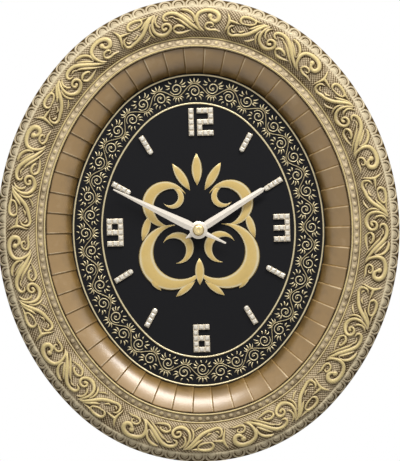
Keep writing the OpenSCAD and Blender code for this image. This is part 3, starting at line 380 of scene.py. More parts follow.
def ring_grid(share, front, rise, back, measured_at):
    """Grid of a ring: a front profile raised along its normals by rise (stations, rows), then back points."""
    profile, normals = front
    raised = profile[None] + normals[None] * rise[..., None]
    closing = np.broadcast_to(np.array(back)[None], (len(share), len(back), 2))
    section = np.concatenate([raised, closing], axis=1)
    return on_oval(share[:, None], section[..., 0], section[..., 1], measured_at)


def with_back(relief, back):
    """Extends a relief map over the closing points at the back of a ring, which take the middle value."""
    return np.concatenate([relief, np.full((relief.shape[0], len(back)), 0.5)], axis=1)


def turned_mesh(name, profile, axis_x=0.0, axis_z=0.0, sides=64, crease=40.0):
    """A turned piece: a profile of (radius, depth) carried round an axis that points out of the wall."""
    profile = np.array(profile)
    turn = np.linspace(0.0, 2.0 * math.pi, sides, endpoint=False)[None]
    x = axis_x + profile[:, :1] * np.sin(turn)
    z = axis_z + profile[:, :1] * np.cos(turn)
    depth = np.broadcast_to(-profile[:, 1:], x.shape)
    return grid_mesh(name, np.stack([x, depth, z], axis=-1), crease=crease)


# Carving


def smooth_path(stops, steps=10):
    """A Catmull-Rom spline: each span leaves and meets its stops along the line between their neighbours."""
    stops = np.array(stops, dtype=float)
    run = np.vstack([2 * stops[0] - stops[1], stops, 2 * stops[-1] - stops[-2]])
    before, here, there, beyond = (run[k : len(run) - 3 + k, None, :] for k in range(4))
    t = np.linspace(0.0, 1.0, steps, endpoint=False)[None, :, None]
    curve = 0.5 * (
        2 * here
        + (there - before) * t
        + (2 * before - 5 * here + 4 * there - beyond) * t**2
        + (3 * here - before - 3 * there + beyond) * t**3
    )
    return np.vstack([curve.reshape(-1, stops.shape[1]), stops[-1:]])


def carve(field, cells, path, height):
    """Raises a round-backed stroke on a field of heights.

    At distance d from a point of the path with half width w and height h, the stroke is
    h sqrt(1 - d^2 / w^2) high. The field keeps the highest value, and its first axis joins up at its ends.
    """
    reach = path[:, 2].max() + cells.max()
    first = np.floor((path[:, :2].min(axis=0) - reach) / cells).astype(int)
    last = np.ceil((path[:, :2].max(axis=0) + reach) / cells).astype(int)
    u = np.arange(first[0], last[0] + 1)
    v = np.arange(max(first[1], 0), min(last[1], field.shape[1] - 1) + 1)
    along, up = u[:, None, None] * cells[0] - path[:, 0], v[None, :, None] * cells[1] - path[:, 1]
    rise = np.max(height * dome((along**2 + up**2) / path[:, 2] ** 2), axis=2)
    window = np.ix_(u % field.shape[0], v)
    field[window] = np.maximum(field[window], rise)


def blurred(field, cells):
    """A Gaussian blur of a field whose edges join up: each wave is damped by exp(-2 (pi cells f)^2)."""
    waves = [np.fft.fftfreq(size) for size in field.shape]
    damping = [np.exp(-2.0 * (math.pi * cells * wave) ** 2) for wave in waves]
    return np.fft.ifft2(np.fft.fft2(field) * damping[0][:, None] * damping[1][None, :]).real


def sampled(field, cells, u, v):
    """Bilinear values of a field at (u, v); the first axis joins up and the second stops at its edges."""
    across = np.clip(v / cells[1], 0.0, field.shape[1] - 1.001)
    along = np.mod(u / cells[0], field.shape[0])
    i, j = np.floor(along).astype(int), np.floor(across).astype(int)
    s, t = along - i, across - j
    i, k = i % field.shape[0], (i + 1) % field.shape[0]
    low = field[i, j] * (1 - t) + field[i, j + 1] * t
    high = field[k, j] * (1 - t) + field[k, j + 1] * t
    return low * (1 - s) + high * s


# Acanthus scroll of one repeat: strokes through (along, up from the inner edge, half width) in millimetres,
# the length of a repeat that they are drawn for, and how far the first one starts from the top
SCROLL_PITCH = 91.5
SCROLL_START = 10.7
SCROLL = (
    # open scroll that ends in a ball
    ((-0.9, 5.0, 0.5), (-4.2, 7.0, 0.9), (-6.4, 10.2, 1.2), (-7.4, 14.2, 1.4), (-6.2, 18.2, 1.5),
     (-2.4, 20.7, 1.6), (3.0, 21.6, 1.7), (7.6, 20.6, 1.8), (10.3, 18.0, 1.9), (10.2, 15.0, 1.8),
     (8.2, 13.3, 1.6), (5.6, 13.6, 1.3), (3.9, 15.0, 1.1)),
    ((3.3, 16.9, 2.0), (3.5, 16.9, 2.0)),
    # bud under the ball, with its tail
    ((0.2, 6.6, 0.5), (-0.2, 8.8, 0.8), (1.3, 11.1, 0.9), (4.2, 11.7, 0.9), (6.6, 10.6, 0.8),
     (6.2, 8.9, 0.6), (4.6, 8.7, 0.4)),
    ((0.0, 8.4, 0.6), (1.6, 6.8, 0.9), (4.6, 6.3, 0.9), (8.6, 6.6, 0.8), (12.6, 5.8, 0.4)),
    # thorn with three points
    ((16.6, 21.6, 0.4), (18.3, 18.6, 0.9), (19.4, 15.5, 1.3), (18.9, 12.2, 1.0), (17.6, 8.5, 0.7),
     (17.2, 5.4, 0.3)),
    ((19.4, 15.4, 1.3), (22.6, 15.2, 1.0), (26.0, 14.8, 0.7), (29.0, 14.4, 0.3)),
    # looped leaf and its tail
    ((31.0, 15.2, 0.5), (28.8, 16.2, 0.9), (28.0, 18.4, 1.1), (29.8, 20.8, 1.2), (34.0, 21.6, 1.2),
     (38.6, 21.0, 1.0), (40.2, 19.2, 0.8), (38.6, 17.2, 0.8), (35.0, 15.9, 0.8), (31.5, 15.6, 0.6)),
    ((38.6, 21.2, 0.9), (42.5, 20.9, 0.7), (47.0, 21.5, 0.3)),
    # stem that curls round and climbs across the band, with its knots and a second rib
    ((23.8, 12.2, 0.4), (21.2, 11.2, 0.8), (19.9, 8.6, 1.0), (20.6, 5.8, 1.1), (23.8, 4.7, 1.1),
     (28.0, 5.6, 1.2), (33.0, 7.0, 1.4), (37.6, 9.4, 1.5), (41.3, 12.9, 1.5), (44.8, 16.8, 1.3),
     (48.2, 19.9, 0.9), (52.0, 21.8, 0.4)),
    ((22.4, 9.0, 0.5), (23.6, 7.6, 0.8), (25.6, 7.4, 0.4)),
    ((28.8, 8.8, 0.4), (30.8, 8.9, 0.8), (33.2, 10.4, 0.5)),
    ((36.5, 13.0, 0.4), (39.2, 14.6, 0.9), (42.6, 17.4, 1.0), (46.6, 20.2, 0.8), (50.5, 21.6, 0.3)),
    # spiral, with the leaves outside and inside it
    ((51.4, 20.6, 0.5), (48.9, 17.6, 0.9), (47.2, 13.4, 1.2), (47.4, 9.2, 1.3), (49.8, 6.0, 1.4),
     (54.0, 4.3, 1.5), (58.6, 5.2, 1.4), (61.6, 7.8, 1.3), (61.6, 10.8, 1.2), (59.2, 12.5, 1.1),
     (56.2, 12.0, 1.0), (54.8, 10.0, 0.9), (56.0, 8.2, 1.0), (57.9, 8.8, 1.2)),
    ((54.6, 20.8, 0.4), (51.7, 18.6, 0.8), (50.4, 15.6, 0.9), (51.2, 12.4, 0.8), (53.0, 11.0, 0.4)),
    ((46.0, 15.2, 0.4), (44.3, 11.6, 0.8), (44.5, 7.6, 0.9), (47.0, 4.0, 0.5)),
    ((35.8, 3.4, 0.4), (39.6, 4.3, 0.8), (43.2, 6.6, 0.5)),
    # arc over the spiral that becomes the long leaf, with its ribs
    ((60.6, 14.8, 0.5), (58.0, 15.6, 0.9), (57.4, 17.8, 1.1), (59.6, 19.8, 1.3), (63.6, 20.4, 1.4),
     (67.8, 19.4, 1.5), (71.6, 16.8, 1.6), (75.6, 13.4, 1.6), (79.8, 10.0, 1.4), (84.2, 7.2, 1.0),
     (88.6, 4.6, 0.4)),
    ((65.8, 16.0, 0.4), (69.4, 14.6, 0.8), (73.2, 11.6, 1.0), (77.4, 8.4, 0.9), (82.0, 5.6, 0.6),
     (85.5, 3.8, 0.3)),
    ((71.4, 20.0, 0.4), (74.6, 17.6, 0.8), (78.6, 14.2, 0.9), (81.4, 11.6, 0.5)),
    ((61.8, 17.0, 0.4), (64.2, 17.3, 0.7), (66.6, 16.4, 0.4)),
    # sprout over the leaf
    ((71.6, 22.0, 0.5), (74.4, 21.9, 1.1), (78.0, 20.7, 1.2), (81.0, 18.2, 1.1), (82.3, 15.2, 0.8),
     (82.2, 12.0, 0.4)),
    # bud after the spiral, with its tail
    ((64.2, 6.2, 0.5), (64.5, 8.2, 0.9), (67.2, 9.8, 1.1), (70.8, 9.4, 1.0), (73.4, 7.9, 0.7),
     (71.8, 6.9, 0.4)),
    ((64.4, 6.4, 0.8), (66.6, 4.4, 1.0), (70.4, 4.0, 1.0), (74.6, 4.7, 0.8), (79.0, 5.8, 0.4)),
)
# Size of a cell of the carved field, height at which a stroke hides the ground, and height of a bright back
SCROLL_CELL = 0.15 * MM
STROKE_FOOT = 0.3 * MM
STROKE_BACK = 1.85 * MM


def scroll_field(sizes, pitch):
    """Heights of one scroll repeat over (along, up from the inner edge) and a map from recess to crest.

    The strokes stand on a ground that two sets of crossed ridges hatch, each |sin| of its own diagonal, one
    set cut into by the other. The map is low between the hatched ridges, low at the feet of the strokes as
    painted shade, and highest along the strokes' backs.
    """
    shape = (round(pitch / SCROLL_CELL), round(sizes.band_width / SCROLL_CELL))
    cells = np.array([pitch, sizes.band_width]) / shape
    u, v = np.arange(shape[0])[:, None] * cells[0], np.arange(shape[1])[None, :] * cells[1]
    slant = math.pi * round(pitch / (sizes.hatch_pitch * math.sqrt(2.0))) / pitch
    lines, cross = np.abs(np.sin(slant * (u + v))), np.abs(np.sin(slant * (u - v)))
    hatch = lines * (0.45 + 0.55 * cross)
    strokes = np.zeros(shape)
    for stops in SCROLL:
        path = smooth_path(stops) * MM
        path[:, 0] *= pitch / (SCROLL_PITCH * MM)
        path[:, 2] = np.maximum(path[:, 2] * sizes.scroll_bold, cells.max())
        carve(strokes, cells, path, np.minimum(sizes.scroll_top, sizes.scroll_rise + 0.75 * path[:, 2]))
    on_stroke = held(strokes / STROKE_FOOT)
    field = blurred(strokes + (1.0 - on_stroke) * sizes.hatch_depth * (hatch - 0.5), 0.8)
    # Painted shade: the ground darkens at the feet of the strokes, where their shade falls
    foot = held(blurred(on_stroke, 4.0) * 1.6)
    ground = (0.1 + 0.46 * hatch) * (1.0 - 0.75 * foot)
    back = 0.1 + 0.9 * held(strokes / STROKE_BACK) ** 1.8
    return cells, field, blurred(on_stroke * back + (1.0 - on_stroke) * ground, 0.7)


# Shader node groups and finishes


def add_node(tree, kind, settings=None, **sockets):
    """Adds a shader node, sets its settings, and sets or links its inputs by name or, as _0, by number."""
    made = tree.nodes.new("ShaderNode" + kind)
    for name, value in (settings or {}).items():
        setattr(made, name, value)
    for name, value in sockets.items():
        by_number = name[0] == "_"
        socket = made.inputs[int(name[1:])] if by_number else made.inputs[name.replace("_", " ")]
        if isinstance(value, bpy.types.NodeSocket):
            tree.links.new(value, socket)
        else:
            socket.default_value = value
    return made


def new_group(name, inputs, outputs):
    """An empty shader node group with named inputs (name, kind, default) and outputs (name, kind)."""
    tree = bpy.data.node_groups.new(name, "ShaderNodeTree")
    for socket, kind, default in inputs:
        made = tree.interface.new_socket(name=socket, in_out="INPUT", socket_type="NodeSocket" + kind)
        made.default_value = default
    for socket, kind in outputs:
        tree.interface.new_socket(name=socket, in_out="OUTPUT", socket_type="NodeSocket" + kind)
    return tree, tree.nodes.new("NodeGroupInput").outputs, tree.nodes.new("NodeGroupOutput").inputs


def mixed(tree, factor, first, second):
    """The colour between first and second at a factor."""
    mix = add_node(tree, "Mix", {"data_type": "RGBA"}, _0=factor, _6=first, _7=second)
    return mix.outputs[2]


def ranged(tree, value, low, high, to_low=0.0, to_high=1.0):
    """A value taken smoothly from one range to another."""
    made = add_node(
        tree, "MapRange", {"interpolation_type": "SMOOTHSTEP"},
        _0=value, _1=low, _2=high, _3=to_low, _4=to_high,
    )
    return made.outputs[0]


def maths(tree, operation, first, second, clamp=False):
    """The sum or product of two values."""
    settings = {"operation": operation, "use_clamp": clamp}
    return add_node(tree, "Math", settings, _0=first, _1=second).outputs[0]


def object_place(tree):
    """Coordinates in the object's own space."""
    return add_node(tree, "TexCoord").outputs["Object"]


def relief_value(tree):
    """The mesh's own map from recess to crest."""
    return add_node(tree, "Attribute", {"attribute_name": "relief"}).outputs["Fac"]


def waxed_and_shaded_relief_group():
    """Wax and painted shade low, lacquer on the ground, rubbed metal and painted highlights high, with
    specks.
    """
    name = "Waxed relief"
    if name in bpy.data.node_groups:
        return bpy.data.node_groups[name]
    tree, given, out = new_group(
        name,
        [
            ("Relief", "Float", 0.5),
            ("Deep", "Color", (0.1, 0.06, 0.02, 1.0)),
            ("Body", "Color", (0.4, 0.3, 0.2, 1.0)),
            ("Rubbed", "Color", (0.6, 0.5, 0.3, 1.0)),
            ("Speck scale", "Float", 900.0),
            ("Speck amount", "Float", 0.5),
            ("Rough recess", "Float", 0.6),
            ("Rough crest", "Float", 0.35),
        ],
        [("Color", "Color"), ("Roughness", "Float"), ("Height", "Float")],
    )
    place = object_place(tree)
    broad = add_node(tree, "TexNoise", Vector=place, Scale=70.0, Detail=4.0).outputs[0]
    fine = add_node(tree, "TexNoise", Vector=place, Scale=given["Speck scale"], Detail=3.0).outputs[0]
    shift = ranged(tree, broad, 0.3, 0.7, -0.08, 0.08)
    relief = maths(tree, "ADD", given["Relief"], shift)
    ground = mixed(tree, ranged(tree, relief, 0.12, 0.48), given["Deep"], given["Body"])
    metal = mixed(tree, ranged(tree, relief, 0.5, 0.82), ground, given["Rubbed"])
    specks = ranged(tree, fine, 0.56, 0.72)
    amount = maths(tree, "MULTIPLY", specks, given["Speck amount"])
    tree.links.new(mixed(tree, amount, metal, given["Deep"]), out["Color"])
    rough = ranged(tree, relief, 0.2, 0.8, given["Rough recess"], given["Rough crest"])
    tree.links.new(rough, out["Roughness"])
    tree.links.new(fine, out["Height"])
    return tree


def surface_grain_group():
    """Two tones mixed by a noise that may be stretched along an axis, with the noise as a height."""
    name = "Surface grain"
    if name in bpy.data.node_groups:
        return bpy.data.node_groups[name]
    tree, given, out = new_group(
        name,
        [
            ("Tone", "Color", (0.5, 0.5, 0.5, 1.0)),
            ("Other tone", "Color", (0.4, 0.4, 0.4, 1.0)),
            ("Scale", "Float", 400.0),
            ("Stretch", "Vector", (1.0, 1.0, 1.0)),
            ("Roughness", "Float", 0.5),
            ("Roughness change", "Float", 0.1),
        ],
        [("Color", "Color"), ("Roughness", "Float"), ("Height", "Float")],
    )
    drawn = add_node(tree, "Mapping", Vector=object_place(tree), Scale=given["Stretch"]).outputs[0]
    noise = add_node(tree, "TexNoise", Vector=drawn, Scale=given["Scale"], Detail=5.0).outputs[0]
    share = ranged(tree, noise, 0.3, 0.7)
    tree.links.new(mixed(tree, share, given["Tone"], given["Other tone"]), out["Color"])
    change = maths(tree, "MULTIPLY", share, given["Roughness change"])
    tree.links.new(maths(tree, "ADD", change, given["Roughness"]), out["Roughness"])
    tree.links.new(noise, out["Height"])
    return tree


def opaque(colour):
    """A colour with full alpha."""
    return (*colour, 1.0)


def shaded(colour, factor):
    """A colour made darker or lighter."""
    return tuple(min(1.0, part * factor) for part in colour)


def new_material(name, **plain):
    """A material with a Principled shader whose plain sockets are set by name."""
    material = bpy.data.materials.new(name)
    material.use_nodes = True
    shader = material.node_tree.nodes["Principled BSDF"]
    for socket, value in plain.items():
        shader.inputs[socket.replace("_", " ")].default_value = value
    return material, material.node_tree, shader


def drive(tree, shader, group, strength, distance):
    """Links a group's colour, roughness and height to the shader, the height through a bump."""
    tree.links.new(group.outputs["Color"], shader.inputs["Base Color"])
    tree.links.new(group.outputs["Roughness"], shader.inputs["Roughness"])
    bump = add_node(tree, "Bump", Height=group.outputs["Height"], Strength=strength, Distance=distance)
    tree.links.new(bump.outputs["Normal"], shader.inputs["Normal"])


# Heights that the groups' noises stand for
RELIEF_NOISE = 0.3 * MM
GRAIN_NOISE = 0.2 * MM


def relief_material(name, tones, metallic, rough, specks, speck_scale, bump, **plain):
    """A metal-coloured relief: the mesh's relief map picks wax and painted shade, lacquer, or rubbed metal
    and highlights.
    """
    material, tree, shader = new_material(name, Metallic=metallic, **plain)
    group = add_node(tree, "Group", {"node_tree": waxed_and_shaded_relief_group()})
    tree.links.new(relief_value(tree), group.inputs["Relief"])
    given = {
        "Deep": opaque(tones[0]),
        "Body": opaque(tones[1]),
        "Rubbed": opaque(tones[2]),
        "Speck scale": speck_scale,
        "Speck amount": specks,
        "Rough recess": rough[0],
        "Rough crest": rough[1],
    }
    for socket, value in given.items():
        group.inputs[socket].default_value = value
    drive(tree, shader, group, bump, RELIEF_NOISE)
    return material


def grain_material(name, tone, contrast, rough, scale, bump, metallic=0.0, stretch=(1, 1, 1), **plain):
    """A surface of two close tones with a grain, such as moulded plastic, plate, board or rubber."""
    material, tree, shader = new_material(name, Metallic=metallic, **plain)
    group = add_node(tree, "Group", {"node_tree": surface_grain_group()})
    given = {
        "Tone": opaque(tone),
        "Other tone": opaque(shaded(tone, contrast)),
        "Scale": scale,
        "Stretch": stretch,
        "Roughness": rough[0],
        "Roughness change": rough[1],
    }
    for socket, value in given.items():
        group.inputs[socket].default_value = value
    drive(tree, shader, group, bump, GRAIN_NOISE)
    return material


def patterned_material(name, pattern, metallic, rough, scale, bump):
    """A surface whose colour comes from a pattern, with the same grain."""
    material, tree, shader = new_material(name, Metallic=metallic)
    group = add_node(tree, "Group", {"node_tree": surface_grain_group()})
    colour = pattern(tree)
    tree.links.new(colour, group.inputs["Tone"])
    tree.links.new(colour, group.inputs["Other tone"])
    group.inputs["Scale"].default_value = scale
    group.inputs["Roughness"].default_value = rough
    drive(tree, shader, group, bump, GRAIN_NOISE)
    return material


def battery_jacket(tree):
    """Printed jacket of a cell: dark along most of its length and copper-coloured at the positive end."""
    run = add_node(tree, "SeparateXYZ", Vector=object_place(tree)).outputs[0]
    seam, blur = high_corner("battery")[0] - 15.0 * MM, 0.2 * MM
    top = ranged(tree, run, seam - blur, seam + blur)
    return mixed(tree, top, opaque((0.022, 0.023, 0.026)), opaque((0.55, 0.26, 0.1)))


def copper_turns(tree):
    """Enamelled copper wire wound in even turns."""
    turns = add_node(
        tree, "TexWave", {"bands_direction": "Z"},
        Vector=object_place(tree), Scale=900.0, Distortion=0.6, Detail=1.0,
    ).outputs[1]
    return mixed(tree, turns, opaque((0.2, 0.07, 0.025)), opaque((0.62, 0.26, 0.1)))


LACQUER = {"specks": 0.2, "speck_scale": 900.0, "bump": 0.25,
           "Coat_Weight": 0.1, "Coat_Roughness": 0.35, "Specular_IOR_Level": 0.1}
BRONZE_COAT = {"specks": 0.0, "speck_scale": 500.0, "bump": 0.03,
               "Coat_Roughness": 0.27, "Coat_IOR": 1.7, "Specular_IOR_Level": 0.0}
CAST_GOLD = {"specks": 0.25, "speck_scale": 1400.0, "bump": 0.1}
RICH_GOLD = {"specks": 0.1, "speck_scale": 1400.0, "bump": 0.1, "Specular_IOR_Level": 0.3}
SIDE_LACQUER = {"metallic": 0.1, "Specular_IOR_Level": 0.1}
# Reliefs: tints and their shades in recesses, on the ground and on crests, metallic, roughness in recesses
# and on crests, and the rest
RELIEFS = {
    # antique gilt lacquer over cast resin, with dark wax in the carving, painted shade at the strokes' feet
    # and on the bead strip
    "frame_gilt": (("gilt_deep", 1.0), ("gilt_body", 1.0), ("gilt_rubbed_and_highlight", 1.0), 0.1, (0.6, 0.36), LACQUER),
    # the same lacquer, paler on the rim, with a painted highlight along its top edge
    "rim_gilt": (("gilt_deep", 1.0), ("rim_body", 1.0), ("rim_rubbed", 1.0), 0.1, (0.6, 0.36), LACQUER),
    # satin bronze lacquer of the ring; its dark tone is painted shade and its pale edge tone a painted
    # highlight
    "ring_bronze": (("bronze", 0.35), ("bronze", 1.0), ("ring_edge_highlight", 1.0), 0.15, (0.45, 0.36), BRONZE_COAT),
    # cast gold, with painted shade at the feet of the strokes
    "gold_relief": (("gold", 0.25), ("gold", 0.7), ("gold", 1.0), 0.55, (0.5, 0.3), CAST_GOLD),
    # rich gold, with pale gold painted as a highlight on the bevelled edges and painted shade at the feet
    "medallion_gold": (("medal", 0.2), ("medal", 1.0), ("gold", 1.0), 0.25, (0.45, 0.3), RICH_GOLD),
}
# Grains: tint and its shade or a plain colour, contrast of the second tone, roughness and its change, scale,
# bump and the rest
GRAINS = {
    # lacquer on the plain side, even and a little darker
    "side_gilt": (("gilt_body", 0.85), 0.9, (0.5, 0.1), 300.0, 0.1, SIDE_LACQUER),
    # satin black with a very fine tooth
    "dial_black": (("dial", 1.0), 1.25, (0.5, 0.08), 1500.0, 0.08, {"Specular_IOR_Level": 0.08}),
    # brushed champagne plate
    "champagne_metal": (("champagne", 1.0), 0.85, (0.3, 0.1), 700.0, 0.06, {"metallic": 0.6}),
    # silvery champagne plate of the hands
    "hand_metal": (("hands", 1.0), 0.9, (0.28, 0.1), 600.0, 0.05, {"metallic": 0.55}),
    # polished gold plate of the cap
    "cap_gold": (("cap", 1.0), 0.85, (0.22, 0.08), 500.0, 0.04, {"metallic": 0.85}),
    # cream crystal that varies from stone to stone
    "crystal": (("stones", 1.0), 0.72, (0.12, 0.12), 420.0, 0.05, {"metallic": 0.1, "Coat_Weight": 0.5}),
    # pressed wood fibre, with fibres lying across
    "hardboard": ((0.25, 0.15, 0.075), 0.62, (0.72, 0.12), 240.0, 0.4, {"stretch": (0.35, 1.0, 1.6)}),
    # zinc-plated steel with a faint spangle
    "zinc_steel": ((0.58, 0.59, 0.6), 0.8, (0.3, 0.14), 320.0, 0.05, {"metallic": 0.95}),
    # turned brass
    "brass": ((0.66, 0.48, 0.2), 0.82, (0.26, 0.12), 520.0, 0.05, {"metallic": 0.95}),
    # matt black rubber
    "rubber": ((0.02, 0.02, 0.021), 1.5, (0.78, 0.1), 800.0, 0.2, {}),
    # spark-eroded black plastic of the movement's case
    "movement_black": ((0.017, 0.017, 0.018), 1.7, (0.46, 0.14), 1300.0, 0.22, {}),
    # natural acetal of the wheels
    "gear_white": ((0.74, 0.71, 0.63), 0.93, (0.36, 0.08), 500.0, 0.05, {}),
    # green solder mask over a woven board
    "circuit_green": ((0.015, 0.1, 0.04), 0.7, (0.3, 0.1), 900.0, 0.15, {"stretch": (1.0, 1.0, 0.4)}),
    # moulded epoxy of the chip
    "chip_black": ((0.012, 0.012, 0.013), 1.6, (0.5, 0.1), 1600.0, 0.2, {}),
    # stamped and annealed motor iron
    "motor_iron": ((0.34, 0.33, 0.32), 0.75, (0.4, 0.15), 380.0, 0.08, {"metallic": 0.9}),
    # sintered grey magnet
    "magnet_grey": ((0.12, 0.12, 0.125), 0.7, (0.5, 0.12), 900.0, 0.2, {"metallic": 0.4}),
    # pale floor
    "pale_floor": ((0.7, 0.69, 0.67), 0.97, (0.7, 0.1), 60.0, 0.02, {}),
}
# Patterns: pattern, metallic, roughness, scale and bump
PATTERNS = {
    "battery_jacket": (battery_jacket, 0.35, 0.24, 700.0, 0.04),
    "copper_wire": (copper_turns, 0.8, 0.3, 400.0, 0.05),
}


def toned(tone):
    """A colour from the sidebar's tint and a shade of it, or a plain colour as it is."""
    if isinstance(tone[0], str):
        return shaded(getattr(bpy.context.scene.clock_colours, tone[0]), tone[1])
    return tone


def thin_coat(material):
    """Thins the clear coat where the relief map is low, as at the ring's inner edge."""
    tree = material.node_tree
    coat = ranged(tree, relief_value(tree), 0.2, 0.43)
    tree.links.new(coat, tree.nodes["Principled BSDF"].inputs["Coat Weight"])


def finish(slot):
    """The finish of a slot, made the first time it is asked for; the CAD's materials have the plain name."""
    name = slot + "_finish"
    material = bpy.data.materials.get(name)
    if material:
        return material
    if slot in PATTERNS:
        return patterned_material(name, *PATTERNS[slot])
    if slot in GRAINS:
        tone, *values, others = GRAINS[slot]
        return grain_material(name, toned(tone), *values, **others)
    *tones, metallic, rough, others = RELIEFS[slot]
    material = relief_material(name, [toned(tone) for tone in tones], metallic, rough, **others)
    if slot == "ring_bronze":
        thin_coat(material)
    return material


# Frame and ring


def rim_profile(sizes):
    """Scalloped rim from the plain side up to the ridge."""
    start = (0.0, sizes.side_height)
    return bow(start, (sizes.rim_width, sizes.side_height + sizes.rim_rise), 0.6 * MM, 60)


def band_edges(sizes):
    """Outer and inner edges of the carved band as (inset, depth)."""
    outer = np.array([sizes.rim_width + sizes.ridge_width, sizes.side_height + sizes.rim_rise])
    return outer, outer + np.array([sizes.band_width, -sizes.band_fall])


def bead_edge(sizes):
    """Inner edge of the bead strip as (inset, depth)."""
    return np.array([band_edges(sizes)[1][0] + sizes.bead_width, sizes.bead_crest])


# Scallops, in rho (see scallop_rise): the arch's middle, half width and height, the shell's edge and height,
# each groove's middle, half width and strength, and where a pit starts and is full
ARCH_AT, ARCH_HALF, ARCH_RISE = 0.82, 0.16, 0.6 * MM
SHELL_EDGE, SHELL_RISE = 0.56, 0.7 * MM
SCALLOP_GROOVES = ((0.61, 0.1, 1.3), (0.3, 0.07, 1.1))
GROOVE_DEPTH = 0.35 * MM
PIT_START, PIT_FULL, PIT_DEPTH = 0.98, 1.14, 0.7 * MM
# Height of the scallops' foot line, as a share of the rim's
SCALLOP_FOOT = 0.8


def scallop_rise(u, w, span):
    """Heights and a map from recess to crest on the rim over (along from a scallop's middle, up the rim).

    An arch stands round a shell, both on a foot line near the rim's top. With rho the distance from the foot
    in half widths and heights of a scallop, the arch is a round ridge, a groove lies inside it and the shell
    is a dome with a second groove. A pit is drilled between neighbours at the outline, and a painted
    highlight makes the map pale along the rim's top edge.
    """
    half, tall = span / 2.0, w.max()
    up = 1.0 - w / (SCALLOP_FOOT * tall)
    rho = np.hypot(u / half, np.maximum(up, 0.0))
    arch = ARCH_RISE * dome(((rho - ARCH_AT) / ARCH_HALF) ** 2)
    shell = SHELL_RISE * dome((rho / SHELL_EDGE) ** 2)
    grooves = np.maximum(*(held(full - np.abs(rho - at) / wide) for at, wide, full in SCALLOP_GROOVES))
    grooves = grooves * held(up / 0.12)
    pit = held((rho - PIT_START) / (PIT_FULL - PIT_START)) * held(up / 0.3)
    rise = np.maximum(arch, shell) - GROOVE_DEPTH * grooves - PIT_DEPTH * pit
    edge = held(w / (0.8 * MM)) * held((tall - w) / (1.2 * MM))
    # Painted highlight along the ridge at the rim's top edge
    ridge = held((w - tall) / (0.8 * MM) + 1.0)
    relief = 0.42 + rise / (3.0 * MM) - 0.27 * grooves - 0.12 * pit + 0.5 * ridge
    return rise * edge, held(relief)


class CLOCK_OT_frame_side(bpy.types.Operator):
    """Plain side and foot of the frame: a straight wall with a small round at the wall's edge"""

    bl_idname = "clock.frame_side"
    bl_label = "Frame side"

    def execute(self, context):
        sizes = context.scene.clock_frame
        top = sizes.side_height
        foot = [(sizes.wall, 0.0), (0.6 * MM, 0.0), (0.0, 0.6 * MM)]
        shoulder = [(0.0, top - 1.2 * MM), (0.4 * MM, top), (sizes.wall, top)]
        section = np.array(foot + shoulder)
        share = np.linspace(0.0, 1.0, 480, endpoint=False)
        grid = on_oval(share[:, None], section[None, :, 0], section[None, :, 1], 0.0)
        mesh = grid_mesh("frame_side", grid, ring=True, crease=50.0)
        add_piece(mesh, "case", ["outer_frame"], "frame_gilt", finish("side_gilt"))
        return {"FINISHED"}


class CLOCK_OT_frame_rim(bpy.types.Operator):
    """Scalloped rim in two halves: arches and shells raised on the rim's profile"""

    bl_idname = "clock.frame_rim"
    bl_label = "Scalloped rim"

    def execute(self, context):
        sizes = context.scene.clock_frame
        profile, normals, run = even_profile(rim_profile(sizes), 42)
        outer = band_edges(sizes)[0]
        foot = sizes.side_height
        back = [outer, outer + (0.0, -sizes.wall), (sizes.wall, foot), (0.4 * MM, foot - 0.2 * MM)]
        stations = sizes.scallops * 24
        span = oval_length(sizes.rim_width / 2.0) / sizes.scallops
        for half in range(2):
            share = np.arange(half * stations // 2, (half + 1) * stations // 2 + 1) / stations
            u = (np.mod(share * sizes.scallops + 0.5, 1.0) - 0.5) * span
            rise, relief = scallop_rise(u[:, None], run[None, :], span)
            grid = ring_grid(share, (profile, normals), rise, back, 0.0)
            mesh = grid_mesh(f"frame_rim_{half + 1}", grid, relief=with_back(relief, back))
            add_piece(mesh, "case", ["outer_frame", "frame_scallops"], "frame_gilt", finish("rim_gilt"))
        return {"FINISHED"}


class CLOCK_OT_frame_band(bpy.types.Operator):
    """Carved band in four quarters: the acanthus scroll raised on the band's swelling profile"""

    bl_idname = "clock.frame_band"
    bl_label = "Carved band"

    def execute(self, context):
        sizes = context.scene.clock_frame
        outer, inner = band_edges(sizes)
        profile, normals, _ = even_profile(bow(outer, inner, sizes.band_bulge, 80), 88)
        middle = (outer[0] + inner[0]) / 2.0
        pitch = oval_length(middle) / sizes.repeats
        cells, field, crests = scroll_field(sizes, pitch)
        back = [inner + (0.0, -sizes.wall), (middle, inner[1] - MM), outer + (MM, -sizes.wall)]
        up = (inner[0] - profile[:, 0])[None, :]
        edge = held(np.minimum(up, sizes.band_width - up) / (0.8 * MM))
        for quarter in range(4):
            share = (quarter + np.linspace(0.0, 1.0, 750)) / 4.0
            run = share * oval_length(middle) - SCROLL_START * MM
            along, across = np.broadcast_arrays(run[:, None], up)
            rise = sampled(field, cells, along, across) * edge
            relief = sampled(crests, cells, along, across)
            grid = ring_grid(share, (profile, normals), rise, back, middle)
            mesh = grid_mesh(f"frame_band_{quarter + 1}", grid, relief=with_back(relief, back))
            add_piece(mesh, "case", ["outer_frame", "frame_scrolls"], "frame_gilt", finish("frame_gilt"))
        return {"FINISHED"}


# Across the bead strip, as shares of its width: the channel's floor in millimetres, the fillets' middles and
# half widths with their heights in millimetres, the row of studs and the painted shade lines either side of
# it
BEAD_FLOOR = ((0.0, -0.4), (0.2, -0.1), (0.8, -0.6), (1.0, -1.1))
BEAD_FILLETS = ((0.09, 0.08, 0.9), (0.87, 0.075, 0.7))
BEAD_MIDDLE = 0.48
BEAD_SHADE_LINES = (0.2, 0.765)
# How far the strip reaches behind its crest
BEAD_DEPTH = 8.5 * MM


